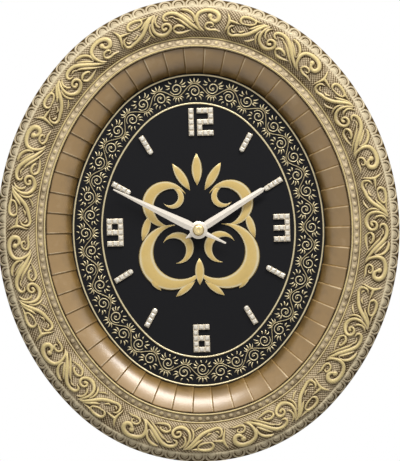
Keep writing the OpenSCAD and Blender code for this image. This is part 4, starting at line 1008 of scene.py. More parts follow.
class CLOCK_OT_frame_beads(bpy.types.Operator):
    """Bead strip: a row of round studs in a channel between two rounded fillets"""

    bl_idname = "clock.frame_beads"
    bl_label = "Bead strip"

    def execute(self, context):
        sizes = context.scene.clock_frame
        start, end = band_edges(sizes)[1], bead_edge(sizes)
        profile, normals, run = even_profile(np.array([start, end]), 40)
        across, part = run[None, :], run[None, :] / run[-1]
        stations = sizes.studs * 14
        share = np.arange(stations) / stations
        pitch = oval_length(start[0] + sizes.bead_width / 2.0) / sizes.studs
        u = ((np.mod(share * sizes.studs + 0.5, 1.0) - 0.5) * pitch)[:, None]
        floor_at, floor_rise = np.array(BEAD_FLOOR).T
        floor = np.interp(part, floor_at, floor_rise * MM)
        away = ((0.9 * u) ** 2 + (across - BEAD_MIDDLE * run[-1]) ** 2) / sizes.stud_radius**2
        stud = sizes.stud_rise * dome(away)
        fillets = [
            high * MM * dome(((part - middle) / half) ** 2) - 0.3 * MM for middle, half, high in BEAD_FILLETS
        ]
        rise = np.maximum(np.maximum(*fillets), floor + stud)
        relief = 0.36 + 0.42 * (rise - floor) / (1.1 * MM) - 0.2 * (stud > 0.0) * away
        shade_lines = np.minimum(*(np.abs(part - gap) for gap in BEAD_SHADE_LINES))
        # Painted highlight on the outer fillet, and painted shade lines either side of the row of studs
        relief = held(relief + 0.15 * (part < 0.17) - 0.3 * held(1.3 - shade_lines / 0.03))
        # Painted shadow along the strip's inner edge
        relief[:, part[0] > 0.95] = 0.0
        deep = sizes.bead_crest - BEAD_DEPTH
        back = [(end[0], deep), (start[0] + 2.0 * MM, deep), start + (0.0, -sizes.wall)]
        grid = ring_grid(share, (profile, normals), rise, back, start[0])
        mesh = grid_mesh("frame_bead_strip", grid, ring=True, relief=with_back(relief, back))
        add_piece(mesh, "case", ["outer_frame", "frame_studs"], "frame_gilt", finish("frame_gilt"))
        return {"FINISHED"}


# Places across a panel of the ring after its riser, as shares of its width
PANEL_SHARES = (0.25, 0.4, 0.55, 0.7, 0.85, 0.98)
# Relief map down the ring, over shares of its run: a painted shadow at the outer edge under the bead strip
# and painted shade that deepens towards the inner edge; then the factors on it at the foot of a riser, a
# quarter up it, at its top and at the two places after it, darker at the foot and a painted highlight at the
# top
RING_SHADE = ((0.0, 0.15), (0.04, 0.5), (0.35, 0.48), (0.65, 0.38), (0.85, 0.26), (1.0, 0.12))
RING_RISER_TONES = (0.3, 1.1, 1.6, 1.35, 1.0)
# How far the ring's seat lies behind the lip, its flange's reach and thickness, its reach inside the lip and
# the width of its foot on the dial
RING_SEAT = 11.5 * MM
RING_FLANGE = 5.5 * MM
RING_THICK = 3.0 * MM
RING_SLOPE = 4.5 * MM
RING_FOOT = 3.2 * MM


class CLOCK_OT_fluted_ring(bpy.types.Operator):
    """Fluted ring: a swelling profile in panels, each high at one side and falling to a step at the next"""

    bl_idname = "clock.fluted_ring"
    bl_label = "Fluted ring"

    def execute(self, context):
        sizes = context.scene.clock_frame
        lip = bead_edge(sizes)
        outer = lip + (sizes.ring_gap, -sizes.ring_drop)
        inner = np.array([outer[0] + sizes.ring_width, DIAL_FRONT])
        profile, normals, run = even_profile(bow(outer, inner, sizes.ring_bulge, 60, 0.7), 30)
        riser = sizes.ring_riser
        edges = [0.0, 0.25 * riser, riser, riser + 0.015, riser + 0.04]
        within = np.array([*edges, *PANEL_SHARES])
        fall = np.where(within < riser, within / riser, (1.0 - within) / (1.0 - riser))
        share = ((np.arange(sizes.panels)[:, None] + 0.5 + within[None]) / sizes.panels).ravel()
        fade = held((run[-1] - run) / (1.2 * MM))
        rise = np.tile(fall, sizes.panels)[:, None] * fade[None] * sizes.ring_step
        seat, flange = lip[1] - RING_SEAT, lip[0] - RING_FLANGE
        shelf = seat + RING_THICK
        back = [inner + (-RING_FOOT, 0.0), (lip[0] + RING_SLOPE, seat), (flange, seat), (flange, shelf),
                (outer[0], shelf)]
        grid = ring_grid(share, (profile, normals), rise, back, outer[0])
        # Painted shade: the map darkens towards the ring's inner edge, with a painted shadow at its outer
        # edge
        shade = np.interp(run / run[-1], *np.array(RING_SHADE).T)
        # Painted highlight along each riser's top, darker at its foot
        riser_tones = np.tile(np.interp(within, edges, RING_RISER_TONES), sizes.panels)
        relief = with_back(riser_tones[:, None] * shade[None], back)
        mesh = grid_mesh("fluted_ring", grid, ring=True, crease=24.0, relief=relief)
        add_piece(mesh, "case", ["cove_ring"], "ring_bronze", finish("ring_bronze"))
        return {"FINISHED"}


# Dial


def raised_strokes(paths, widths, rises, place, full=1.0, sides=7):
    """Strokes that stand on a face, as grids (strokes, stations, sides, 3).

    Across each station, as a goes from 0 to half a turn, the stroke reaches w cos(a) aside and rises by
    h times full sin(a), but not beyond h: half-round where full is 1, and flat-topped where it is more.
    """
    along = np.gradient(paths, axis=1)
    along /= np.linalg.norm(along, axis=2, keepdims=True)
    across = np.stack([along[..., 1], -along[..., 0]], axis=-1)
    turn = np.linspace(0.0, math.pi, sides)
    offset = widths[..., None] * np.cos(turn)
    flat = paths[:, :, None, :] + across[:, :, None, :] * offset[..., None]
    rise = rises[..., None] * np.minimum(full * np.sin(turn), 1.0) - SINK
    return place(flat[..., 0], flat[..., 1], rise)


def stroke_relief(batches, across):
    """Relief of strokes: the same values across every station."""
    return np.concatenate([np.broadcast_to(across, batch.shape[:3]).ravel() for batch in batches])


def on_dial(x, z, rise):
    """Points on the dial's face."""
    return np.stack([x, -(DIAL_FRONT + rise), z], axis=-1)


class CLOCK_OT_gold_lines(bpy.types.Operator):
    """Two half-round gold lines that follow the oval"""

    bl_idname = "clock.gold_lines"
    bl_label = "Gold lines"

    def execute(self, context):
        sizes = context.scene.clock_dial
        turn = np.linspace(0.0, math.pi, 9)
        share = np.linspace(0.0, 1.0, 400, endpoint=False)
        half = sizes.line_width / 2.0
        for node, inset in (("dial_outer_line", OUTER_LINE), ("dial_inner_line", INNER_LINE)):
            middle = inset + half
            across = middle - half * np.cos(turn)
            depth = DIAL_FRONT + sizes.line_rise * np.sin(turn) - SINK
            grid = on_oval(share[:, None], across[None], depth[None], middle)
            # Painted shade: the map falls to nothing at the lines' feet
            relief = np.broadcast_to(np.sin(turn), grid.shape[:2])
            mesh = grid_mesh(node + "_bead", grid, ring=True, relief=relief)
            add_piece(mesh, "case", [node], "gold_relief", finish("gold_relief"))
        return {"FINISHED"}


# How far the vine's stem swings to either side, its half width, and the factor on the other strokes' widths
VINE_SWING = 4.6 * MM
STEM_HALF = 0.42 * MM
VINE_BOLD = 0.7
# Spiral: where it starts and how far it turns, in degrees, its radii, and how far it lies below the middle
SPIRAL_START, SPIRAL_TURN = 172.0, 520.0
SPIRAL_OUTER, SPIRAL_INNER = 5.1 * MM, 1.4 * MM
SPIRAL_DROP = 1.9 * MM
# Leaves of one half wave of the vine: base x, base y, tip x, tip y, sideways bow, half width, in millimetres
VINE_LEAVES = (
    (0.0, 5.1, 0.0, 9.3, 0.0, 0.8),
    (0.6, 5.2, 3.0, 8.9, -0.8, 0.75),
    (-0.6, 5.2, -3.0, 8.9, 0.8, 0.75),
    (1.6, 5.0, 4.9, 6.6, -0.7, 0.65),
    (-1.6, 5.0, -4.9, 6.6, 0.7, 0.65),
    (4.3, -3.6, 8.2, -3.4, 0.8, 0.75),
    (4.2, -4.6, 8.0, -6.4, 0.7, 0.8),
    (3.4, -5.6, 6.2, -9.0, 0.7, 0.75),
    (-4.6, -4.4, -8.0, -4.0, -0.7, 0.75),
    (-4.2, -5.4, -7.4, -7.6, -0.7, 0.8),
    (-2.4, -6.8, -4.4, -9.3, -0.5, 0.65),
    (0.2, -6.9, 1.4, -9.4, 0.4, 0.65),
    (-0.8, -1.6, 1.0, -2.4, 0.4, 0.85),
)


def leaf_strokes(rows, steps=9):
    """Leaves as strokes: from base to tip, bowed sideways by 4 t (1 - t), with half width w sin(pi t^0.8)."""
    rows = np.array(rows) * MM
    t = np.linspace(0.0, 1.0, steps)[None, :, None]
    base, span = rows[:, None, 0:2], (rows[:, 2:4] - rows[:, 0:2])[:, None, :]
    aside = np.stack([-span[..., 1], span[..., 0]], axis=-1) / np.linalg.norm(span, axis=2, keepdims=True)
    paths = base + span * t + aside * rows[:, None, 4:5] * 4.0 * t * (1.0 - t)
    widths = 0.14 * MM + rows[:, 5:6] * np.sin(math.pi * t[..., 0] ** 0.8)
    return paths, widths


def vine_half_wave():
    """The strokes of half a wave besides the stem: a spiral under the crest and the leaves, in metres."""
    t = np.linspace(0.0, 1.0, 36)
    turn = np.radians(SPIRAL_START - SPIRAL_TURN * t)
    radius = SPIRAL_OUTER - (SPIRAL_OUTER - SPIRAL_INNER) * t
    spiral = np.stack([radius * np.cos(turn), radius * np.sin(turn) - SPIRAL_DROP], axis=-1)[None]
    width = (0.4 + 0.3 * np.sin(math.pi * t))[None] * MM
    return (spiral, width), leaf_strokes(VINE_LEAVES)


class CLOCK_OT_vine_band(bpy.types.Operator):
    """Gold vine between the lines: a wave with a spiral and leaves in every bend"""

    bl_idname = "clock.vine_band"
    bl_label = "Vine band"

    def execute(self, context):
        sizes = context.scene.clock_dial
        middle = (OUTER_LINE + INNER_LINE + sizes.line_width) / 2.0
        halves = 2 * sizes.vine_waves
        step = oval_length(middle) / halves

        def on_band(u, v, rise):
            return on_oval(u / oval_length(middle), middle - v, DIAL_FRONT + rise, middle)

        share = np.linspace(0.0, 1.0, halves * 14, endpoint=False)
        u = share * oval_length(middle)
        wave = VINE_SWING * np.cos(math.pi * u / step)
        slope = np.arctan(-VINE_SWING * math.pi / step * np.sin(math.pi * u / step))[:, None]
        turn = np.linspace(0.0, math.pi, 7)[None]
        across = STEM_HALF * np.cos(turn)
        stem = on_band(u[:, None] + across * np.sin(slope), wave[:, None] - across * np.cos(slope),
                       sizes.vine_rise * np.sin(turn) - SINK)
        gold = finish("gold_relief")
        # Painted shade: the map falls to nothing at the stem's feet
        relief = np.broadcast_to(np.sin(turn), stem.shape[:2])
        mesh = grid_mesh("vine_stem", stem, ring=True, relief=relief)
        add_piece(mesh, "case", ["band_ornament"], "gold_relief", gold)

        side = np.where(np.arange(halves) % 2 == 0, 1.0, -1.0)
        start = np.arange(halves) * step
        batches = []
        for paths, widths in vine_half_wave():
            placed = paths[None] * np.stack([np.ones(halves), side], axis=-1)[:, None, None, :]
            placed[..., 0] += start[:, None, None]
            placed = placed.reshape(-1, *paths.shape[1:])
            wide = np.broadcast_to(VINE_BOLD * widths[None], (halves, *widths.shape))
            wide = wide.reshape(-1, widths.shape[1])
            rises = np.minimum(sizes.vine_rise, wide * 1.5)
            batches.append(raised_strokes(placed, wide, rises, on_band))
        # Painted shade at the feet of the spiral and the leaves
        relief = stroke_relief(batches, 0.1 + 0.9 * np.sin(turn[0]))
        mesh = many_grids_mesh("vine_leaves", batches, relief=relief)
        add_piece(mesh, "case", ["band_ornament"], "gold_relief", gold)
        return {"FINISHED"}


# Medallion of mirrored crescents and leaves, in hundredths of its width
# Crescents: radius, thickness, x, z, turn in degrees
CRESCENTS = ((27, 9, 23, -22, 150), (19, 7, 27, 22, 205), (13, 5, 17, -14, 330), (9, 3.6, 20, 27, 20))
# Leaves: length, width, x, z, turn in degrees
SIDE_LEAVES = ((26, 8, 13, 44, -32), (22, 7, 43, 3, 18), (20, 6, 12, -48, 52), (15, 5, 37, -43, -40))
MIDDLE_LEAVES = ((26, 9, 0, 50, 0), (22, 8, 0, -34, 0))


def crescent_strokes(rows, unit, steps=44):
    """Crescents as strokes between two circles.

    The outer circle has radius r. The inner one has radius r - k / 2 and lies k off, so along an angle a it
    is k cos(a) + sqrt((r - k / 2)^2 - (k sin(a))^2) from the outer one's centre. They meet where cos(a) is
    0.5 + 0.375 k / r.
    """
    radius, thick, x, z, turn = np.array(rows, dtype=float).T[:, :, None]
    tip = np.arccos(0.5 + 0.375 * thick / radius)
    angle = tip + (2.0 * math.pi - 2.0 * tip) * np.linspace(0.0, 1.0, steps)[None]
    inner = thick * np.cos(angle) + np.sqrt((radius - thick / 2.0) ** 2 - (thick * np.sin(angle)) ** 2)
    reach, half = (radius + inner) / 2.0, np.maximum((radius - inner) / 2.0, 0.12)
    heading = angle + np.radians(turn)
    paths = np.stack([x + reach * np.cos(heading), z + reach * np.sin(heading)], axis=-1)
    return paths * unit, half * unit


def pointed_leaf_strokes(rows, unit, steps=21):
    """Leaves between two equal arcs of radius (l^2 + w^2) / (4 w) that meet at both tips."""
    long, wide, x, z, turn = np.array(rows, dtype=float).T[:, :, None]
    arc = (long**2 + wide**2) / (4.0 * wide)
    run = long / 2.0 * np.linspace(-1.0, 1.0, steps)[None]
    half = np.maximum(np.sqrt(arc**2 - run**2) - (arc - wide / 2.0), 0.12)
    turn = np.radians(turn)
    paths = np.stack([x - run * np.sin(turn), z + run * np.cos(turn)], axis=-1)
    return paths * unit, half * unit


class CLOCK_OT_medallion(bpy.types.Operator):
    """Gold ornament in the middle: crescents and leaves mirrored about the middle"""

    bl_idname = "clock.medallion"
    bl_label = "Medallion"

    def execute(self, context):
        sizes = context.scene.clock_dial
        unit = (high_corner("centre_ornament")[0] - low_corner("centre_ornament")[0]) / 100.0
        mirror = np.array([-1.0, 1.0])
        batches = []
        for strokes, rows, mirrored in (
            (crescent_strokes, CRESCENTS, True),
            (pointed_leaf_strokes, SIDE_LEAVES, True),
            (pointed_leaf_strokes, MIDDLE_LEAVES, False),
        ):
            paths, widths = strokes(rows, unit)
            for flip in (np.ones(2), mirror) if mirrored else (np.ones(2),):
                rises = np.minimum(sizes.medallion_rise, 0.3 * MM + widths * 0.55)
                batches.append(raised_strokes(paths * flip, widths, rises, on_dial, full=1.7))
        # Painted shade at the strokes' feet and a painted highlight on their bevelled shoulders
        relief = stroke_relief(batches, np.array([0.1, 0.9, 0.5, 0.5, 0.5, 0.9, 0.1]))
        mesh = many_grids_mesh("medallion", batches, crease=25.0, relief=relief)
        add_piece(mesh, "case", ["centre_ornament"], "gold_relief", finish("medallion_gold"))
        return {"FINISHED"}


DIGITS = {
    "1": ("#", "#", "#", "#", "#"),
    "2": ("###", "..#", "###", "#..", "###"),
    "3": ("###", "..#", "###", "..#", "###"),
    "6": ("###", "#..", "###", "#.#", "###"),
    "9": ("###", "#.#", "###", "..#", "###"),
}
PLATE_BEVEL = 0.25 * MM
NUMERALS = {"numeral_twelve": "12", "numeral_three": "3", "numeral_six": "6", "numeral_nine": "9"}


def digit_cells(digit):
    """Column and row, from the lower left, of each stone of a digit."""
    rows = DIGITS[digit][::-1]
    return [
        (column, row) for row, marks in enumerate(rows) for column, mark in enumerate(marks) if mark == "#"
    ]


def numeral_cells(sizes, node):
    """For each digit of a numeral, its lower left corner (x, z) and its cells."""
    corner = low_corner(node)[[0, 2]]
    return [
        (corner + (place * sizes.digit_step, 0.0), digit_cells(digit))
        for place, digit in enumerate(NUMERALS[node])
    ]


def finish_plate(piece, thick):
    """Thickens a plate towards the dial and rounds its edges."""
    solid = piece.modifiers.new("Thickness", "SOLIDIFY")
    solid.thickness = thick
    solid.offset = -1.0
    round_edges = piece.modifiers.new("Edges", "BEVEL")
    round_edges.width = PLATE_BEVEL
    round_edges.segments = 2
    round_edges.limit_method = "ANGLE"


def plate_mesh(name, points, faces, front):
    """A mesh of flat faces at a depth in front of the wall, facing out."""
    mesh = bpy.data.meshes.new(name)
    places = on_dial(points[:, 0], points[:, 1], np.full(len(points), front - DIAL_FRONT))
    mesh.from_pydata(places.tolist(), [], faces)
    mesh.update()
    return mesh


class CLOCK_OT_numerals(bpy.types.Operator):
    """Plated numerals 12, 3, 6 and 9: strokes of square cells joined to their neighbours"""

    bl_idname = "clock.numerals"
    bl_label = "Numerals"

    def execute(self, context):
        sizes = context.scene.clock_dial
        stroke, pitch = sizes.stroke, sizes.pitch
        for node in NUMERALS:
            boxes = []
            for corner, cells in numeral_cells(sizes, node):
                for column, row in cells:
                    low = corner + np.array([column, row]) * pitch
                    boxes.append((*low, *(low + stroke)))
                    if (column + 1, row) in cells:
                        boxes.append((low[0] + stroke, low[1], low[0] + pitch, low[1] + stroke))
                    if (column, row + 1) in cells:
                        boxes.append((low[0], low[1] + stroke, low[0] + stroke, low[1] + pitch))
            corners = np.array(boxes)[:, [0, 1, 2, 1, 2, 3, 0, 3]].reshape(-1, 2)
            points, index = np.unique(np.round(corners, 7), axis=0, return_inverse=True)
            front, back = front_of(node), back_of(node)
            mesh = plate_mesh(node + "_plate", points, index.reshape(-1, 4).tolist(), front)
            piece = add_piece(mesh, "case", [node], "champagne_metal", finish("champagne_metal"))
            finish_plate(piece, front - back)
        return {"FINISHED"}


BATON_HOURS = (1, 2, 4, 5, 7, 8, 10, 11)


def baton_places(sizes):
    """Clock angle and outer end's distance from the axis of each baton."""
    places = []
    for hour in BATON_HOURS:
        clock = math.radians(30.0 * hour)
        near_upright = abs(math.cos(clock)) > abs(math.sin(clock))
        gap = sizes.baton_gap_upper if near_upright else sizes.baton_gap_side
        places.append((clock, oval_reach(clock, INNER_LINE + sizes.line_width / 2.0) - gap))
    return np.array(places)


def along_clock(clock, across, out):
    """Turns (across, out) on a hand or baton to (x, z) at a clock angle."""
    return out * np.sin(clock) + across * np.cos(clock), out * np.cos(clock) - across * np.sin(clock)


class CLOCK_OT_batons(bpy.types.Operator):
    """Eight plated hour batons with a round inner end"""

    bl_idname = "clock.batons"
    bl_label = "Hour batons"

    def execute(self, context):
        sizes = context.scene.clock_dial
        half = sizes.stroke / 2.0
        turn = np.linspace(0.0, math.pi, 13)
        across = np.concatenate([[half, -half], -half * np.cos(turn)])
        out = np.concatenate([[0.0, 0.0], half - sizes.baton_length - half * np.sin(turn)])
        places = baton_places(sizes)
        x, z = along_clock(places[:, :1], across[None], places[:, 1:] + out[None])
        size = len(across)
        faces = (np.arange(len(places))[:, None] * size + np.arange(size)[None]).tolist()
        front, back = front_of("hour_batons"), back_of("hour_batons")
        points = np.stack([x, z], axis=-1).reshape(-1, 2)
        mesh = plate_mesh("hour_baton_plates", points, faces, front)
        piece = add_piece(mesh, "case", ["hour_batons"], "champagne_metal", finish("champagne_metal"))
        finish_plate(piece, front - back)
        return {"FINISHED"}


# How far a stone's corners are cut, and its width and height at each level above the girdle's foot, as shares
STONE_CUT = 0.78
STONE_LEVELS = ((1.0, 0.4), (0.86, 0.72), (0.56, 1.0))
STONES_ON_BATON = 4


def stone_grids(sizes, x, z, clock, seat):
    """Square stones with cut corners: an eight-sided girdle that narrows through a crown to a flat table."""
    half, cut = sizes.stone / 2.0, STONE_CUT
    levels = np.array([(1.0, -SINK), *((wide, high * sizes.stone_rise) for wide, high in STONE_LEVELS)])
    across = np.array([1, cut, -cut, -1, -1, -cut, cut, 1]) * half
    out = np.array([cut, 1, 1, cut, -cut, -1, -1, -cut]) * half
    shift_x, shift_z = along_clock(clock[:, None], across[None], out[None])
    scale = levels[None, :, :1]
    x, z = x[:, None, None] + scale * shift_x[:, None], z[:, None, None] + scale * shift_z[:, None]
    return np.stack(np.broadcast_arrays(x, -(seat + levels[None, :, 1:]), z), axis=-1)


class CLOCK_OT_stones(bpy.types.Operator):
    """Square-cut stones in rows on the numerals and batons"""

    bl_idname = "clock.stones"
    bl_label = "Stones"

    def execute(self, context):
        sizes = context.scene.clock_dial
        middles = [
            corner + sizes.stroke / 2.0 + np.array(cells) * sizes.pitch
            for node in NUMERALS
            for corner, cells in numeral_cells(sizes, node)
        ]
        x, z = np.concatenate(middles).T
        on_numerals = stone_grids(sizes, x, z, np.zeros(len(x)), back_of("numeral_stones"))
        each = STONES_ON_BATON
        places = np.repeat(baton_places(sizes), each, axis=0)
        step = (sizes.baton_length - sizes.stroke) / (each - 1)
        out = places[:, 1] - sizes.stroke / 2.0 - np.tile(np.arange(each), len(places) // each) * step
        x, z = along_clock(places[:, 0], 0.0, out)
        on_batons = stone_grids(sizes, x, z, places[:, 0], back_of("baton_stones"))
        for node, grids in (("numeral_stones", on_numerals), ("baton_stones", on_batons)):
            mesh = many_grids_mesh(node + "_cut", [grids], crease=8.0)
            add_piece(mesh, "case", [node], "crystal", finish("crystal"))
        return {"FINISHED"}


# Hands

# A hub's rim, and the blades' heights at the edge and along the crease above its seat
HUB_RIM = 0.6 * MM
BLADE_EDGE = 0.25 * MM
BLADE_CREST = 1.0 * MM


def blade_grid(stations, clock, seat, edge, crest):
    """A hand's blade with a crease over stations of (run, half width).

    Each station is a flat foot, two low edges and a ridge whose height grows with the blade's width there.
    """
    run, half = np.array(stations).T[:, :, None]
    across = half * np.array([-1.0, -1.0, 0.0, 1.0, 1.0])[None]
    ridge = (crest - edge) * half / half.max()
    depth = seat + edge * np.array([0.0, 1.0, 1.0, 1.0, 0.0]) + ridge * np.array([0.0, 0.0, 1.0, 0.0, 0.0])
    x, z = along_clock(clock, across, run)
    return np.stack([x, -depth, z], axis=-1)


class CLOCK_OT_hands(bpy.types.Operator):
    """Hour and minute hands: creased blades on turned hubs"""

    bl_idname = "clock.hands"
    bl_label = "Hands"

    def execute(self, context):
        sizes = context.scene.clock_hands
        hub = sizes.hub_radius
        minute_half, hour_half = sizes.minute_width / 2.0, sizes.hour_width / 2.0
        minute = (
            (-sizes.minute_tail, 0.7 * MM), (1.0 * MM - hub, minute_half / 2.0), (0.0, 0.7 * minute_half),
            (hub + 4.0 * MM, minute_half), (sizes.minute_reach, 0.6 * MM),
        )
        hour = (
            (-sizes.hour_tail, 0.3 * MM), (1.0 * MM - hub, 0.7 * hour_half), (0.0, 0.85 * hour_half),
            (hub + 3.0 * MM, hour_half), (sizes.hour_reach - 3.0 * MM, 0.6 * hour_half),
            (sizes.hour_reach, 0.2 * MM),
        )
        metal = finish("hand_metal")
        for node, body, stations, clock in (
            ("minute_hand", "minute_group", minute, sizes.minute_angle),
            ("hour_hand", "hour_group", hour, sizes.hour_angle),
        ):
            front, back = front_of(node), back_of(node)
            seat = front - HUB_RIM
            grid = blade_grid(stations, clock, seat, BLADE_EDGE, BLADE_CREST)
            add_piece(grid_mesh(node + "_blade", grid, crease=12.0), body, [node], "hand_metal", metal)
            profile = [
                (0.5 * hub, back), (0.5 * hub, seat), (hub - 0.2 * MM, seat), (hub, seat + 0.2 * MM),
                (hub, front - 0.1 * MM), (hub - 0.3 * MM, front + 0.1 * MM), (0.2 * MM, front + 0.25 * MM),
            ]
            add_piece(turned_mesh(node + "_hub", profile), body, [node], "hand_metal", metal)
        return {"FINISHED"}


class CLOCK_OT_hand_cap(bpy.types.Operator):
    """Turned gold cap with a sunk centre"""

    bl_idname = "clock.hand_cap"
    bl_label = "Hand cap"

    def execute(self, context):
        radius = high_corner("hand_cap")[0]
        back, front = back_of("hand_cap"), front_of("hand_cap")
        turn = np.linspace(0.0, math.pi / 2.0, 9)
        dome_r = 0.36 * radius + 0.6 * radius * np.cos(turn)
        dome_d = back + 1.2 * MM + (front - back - 1.2 * MM) * np.sin(turn)
        sunk = front - 0.9 * MM
        profile = np.concatenate([
            [(radius, back), (radius, back + 1.0 * MM)],
            np.column_stack([dome_r, dome_d]),
            [(0.3 * radius, front - 0.1 * MM), (0.26 * radius, sunk), (0.02 * radius, sunk)],
        ])
        mesh = turned_mesh("hand_cap_turned", profile)
        add_piece(mesh, "minute_group", ["hand_cap"], "cap_gold", finish("cap_gold"))
        return {"FINISHED"}


# Back


def screw_middles(node):
    """Middles (x, z) of the screws of a CAD node: its points, split where their polar angle jumps."""
    mesh = frame["nodes"][node].data
    points = np.empty(len(mesh.vertices) * 3, dtype=np.float32)
    mesh.vertices.foreach_get("co", points)
    x, z = points.reshape(-1, 3)[:, 0], points.reshape(-1, 3)[:, 2]
    angle = np.arctan2(x, -z)
    order = np.argsort(angle)
    breaks = np.flatnonzero(np.diff(angle[order]) > 0.05) + 1
    groups = np.split(order, breaks)
    return [((x[g].min() + x[g].max()) / 2.0, (z[g].min() + z[g].max()) / 2.0) for g in groups]


# Head's radius and thickness and shank's radius, then the cross's half width and reach in shares of the
# head's radius and its depth in shares of the head's thickness
SCREW_SIZES = (2.7 * MM, 1.0 * MM, 1.1 * MM)
CROSS_HALF, CROSS_REACH, CROSS_DEPTH = 0.17, 0.68, 0.55


def screw_grid(x, z, back, front, head_radius, head_thick, shank_radius):
    """A pan-head screw seen from behind: a shank, a rounded head and a cross sunk into it.

    The cross lowers the head where a point is within its arm's half width of an axis and inside its length.
    """
    inward = np.linspace(0.0, 1.0, 9)[1:] ** 0.8
    shank = [shank_radius, shank_radius, head_radius, head_radius]
    radius = np.concatenate([shank, head_radius * (1.02 - inward)])
    under, brim = back + head_thick, back + 0.5 * head_thick
    depth = np.concatenate([[front, under, under, brim], back + 0.5 * head_thick * (1.0 - np.sqrt(inward))])
    turn = np.linspace(0.0, 2.0 * math.pi, 40, endpoint=False)[None]
    across, up = radius[:, None] * np.sin(turn), radius[:, None] * np.cos(turn)
    arm, reach = CROSS_HALF * head_radius, CROSS_REACH * head_radius
    cross = (np.minimum(np.abs(across), np.abs(up)) < arm) & (np.maximum(np.abs(across), np.abs(up)) < reach)
    sunk = np.where(cross & (radius[:, None] < 0.9 * head_radius), CROSS_DEPTH * head_thick, 0.0)
    sunk[:3] = 0.0
    return np.stack([x + across, -(depth[:, None] + sunk), z + up], axis=-1)


class CLOCK_OT_back_screws(bpy.types.Operator):
    """Cross-head screws of the back cover and of the hanger"""

    bl_idname = "clock.back_screws"
    bl_label = "Back screws"

    def execute(self, context):
        for node in ("back_cover_screws", "hanger_screws"):
            middles = screw_middles(node)
            ends = (back_of(node), front_of(node))
            grids = np.stack([screw_grid(x, z, *ends, *SCREW_SIZES) for x, z in middles])
            mesh = many_grids_mesh(node + "_turned", [grids], crease=30.0)
            add_piece(mesh, "case", [node], "zinc_steel", finish("zinc_steel"))
        return {"FINISHED"}


class CLOCK_OT_battery(bpy.types.Operator):
    """Battery: a jacketed cell with rolled edges and a nub at the positive end"""

    bl_idname = "clock.battery"
    bl_label = "Battery"

    def execute(self, context):
        low, high = low_corner("battery"), high_corner("battery")
        radius = (high[2] - low[2]) / 2.0
        middle_y, middle_z = (low[1] + high[1]) / 2.0, (low[2] + high[2]) / 2.0
        start, end = low[0], high[0]
        profile = np.array([
            (0.35 * radius, start), (0.78 * radius, start),
            (0.8 * radius, start + 0.3 * MM), (0.93 * radius, start + 0.3 * MM),
            (0.995 * radius, start + 1.0 * MM), (0.995 * radius, end - 2.3 * MM),
            (0.93 * radius, end - 1.6 * MM), (0.8 * radius, end - 1.6 * MM), (0.78 * radius, end - 1.3 * MM),
            (0.38 * radius, end - 1.3 * MM), (0.36 * radius, end - 0.2 * MM), (0.3 * radius, end),
        ])
        turn = np.linspace(0.0, 2.0 * math.pi, 56, endpoint=False)[None]
        y, z = middle_y + profile[:, :1] * np.cos(turn), middle_z + profile[:, :1] * np.sin(turn)
        grid = np.stack([np.broadcast_to(profile[:, 1:], y.shape), y, z], axis=-1)
        mesh = grid_mesh("battery_cell", grid, crease=35.0)
        add_piece(mesh, "case", ["battery"], "battery_jacket", finish("battery_jacket"))
        return {"FINISHED"}


class CLOCK_OT_carried_finishes(bpy.types.Operator):
    """Gives every CAD piece that still shows the finish of its slot"""

    bl_idname = "clock.carried_finishes"
    bl_label = "Finishes of the plain pieces"

    def execute(self, context):
        for row in frame["record"]["subparts"]:
            mesh = frame["nodes"][row["node"]].data
            mesh.materials.clear()
            mesh.materials.append(finish(row["material_slot"]))
        return {"FINISHED"}


# Stage


class ClockStage(bpy.types.PropertyGroup):
    """Camera, lamps and floor."""

    distance: length("Camera distance", 5.0, "From the hands' axis to the camera")
    lean: bearing("Lean", 1.66, "How far the object leans to the left")
    lens: number("Lens", 472.0, "Focal length in millimetres")
    aim_x: position("Aim across", 0.00124, "Middle of the picture")
    aim_z: position("Aim up", -0.00033, "Middle of the picture")
    key: number("Key lamp", 35.0, "Power of the lamp above, in watts")
    fill: number("Fill lamp", 2.0, "Power of the lamp in front, in watts")
    sky: number("Sky", 0.22, "Light from above")
    front: number("Front", 0.24, "Light from in front")
    ground: number("Ground", 0.02, "Light from below")
    floor: position("Floor", -0.8, "Height of the floor")
    floor_width: length("Floor width", 1.4, "Size of the floor across")
    floor_depth: length("Floor depth", 1.3, "Size of the floor from front to back")


# Lamps: place, width and height
KEY_LAMP = ((0.25, -0.9, 1.2), 1.8, 0.4)
FILL_LAMP = ((0.0, -1.9, 0.3), 1.4, 1.0)
SENSOR_WIDTH = 36.0
WHITE = (1.0, 1.0, 1.0, 1.0)


def add_lamp(name, power, place, width, height):
    """A rectangular lamp that points at the hands' axis."""
    lamp = bpy.data.lights.new(name, "AREA")
    lamp.shape = "RECTANGLE"
    lamp.size, lamp.size_y = width, height
    lamp.energy = power
    holder = bpy.data.objects.new(name, lamp)
    bpy.context.scene.collection.objects.link(holder)
    x, y, z = place
    holder.location = place
    holder.rotation_euler = (math.atan2(math.hypot(x, y), z), 0.0, math.atan2(y, x) + math.pi / 2.0)


def background_rays(tree):
    """One for the rays that see the background: from the camera, in reflections and through glass."""
    path = add_node(tree, "LightPath").outputs
    seen = maths(tree, "ADD", path["Is Camera Ray"], path["Is Glossy Ray"])
    return maths(tree, "ADD", seen, path["Is Transmission Ray"], clamp=True)


def floor_finish():
    """Pale floor under the clock that fades to the white background towards its edges."""
    material = finish("pale_floor")
    tree = material.node_tree
    axes = add_node(tree, "SeparateXYZ", Vector=object_place(tree)).outputs
    flat = add_node(tree, "CombineXYZ", X=axes[0], Y=axes[1]).outputs[0]
    away = add_node(tree, "VectorMath", {"operation": "LENGTH"}, _0=flat).outputs["Value"]
    fade = maths(tree, "MULTIPLY", ranged(tree, away, 0.15, 0.6), background_rays(tree))
    lit = tree.nodes["Principled BSDF"].outputs[0]
    white = add_node(tree, "Emission", Color=WHITE, Strength=1.0).outputs[0]
    blend = add_node(tree, "MixShader", _0=fade, _1=lit, _2=white)
    tree.links.new(blend.outputs[0], tree.nodes["Material Output"].inputs["Surface"])
    return material


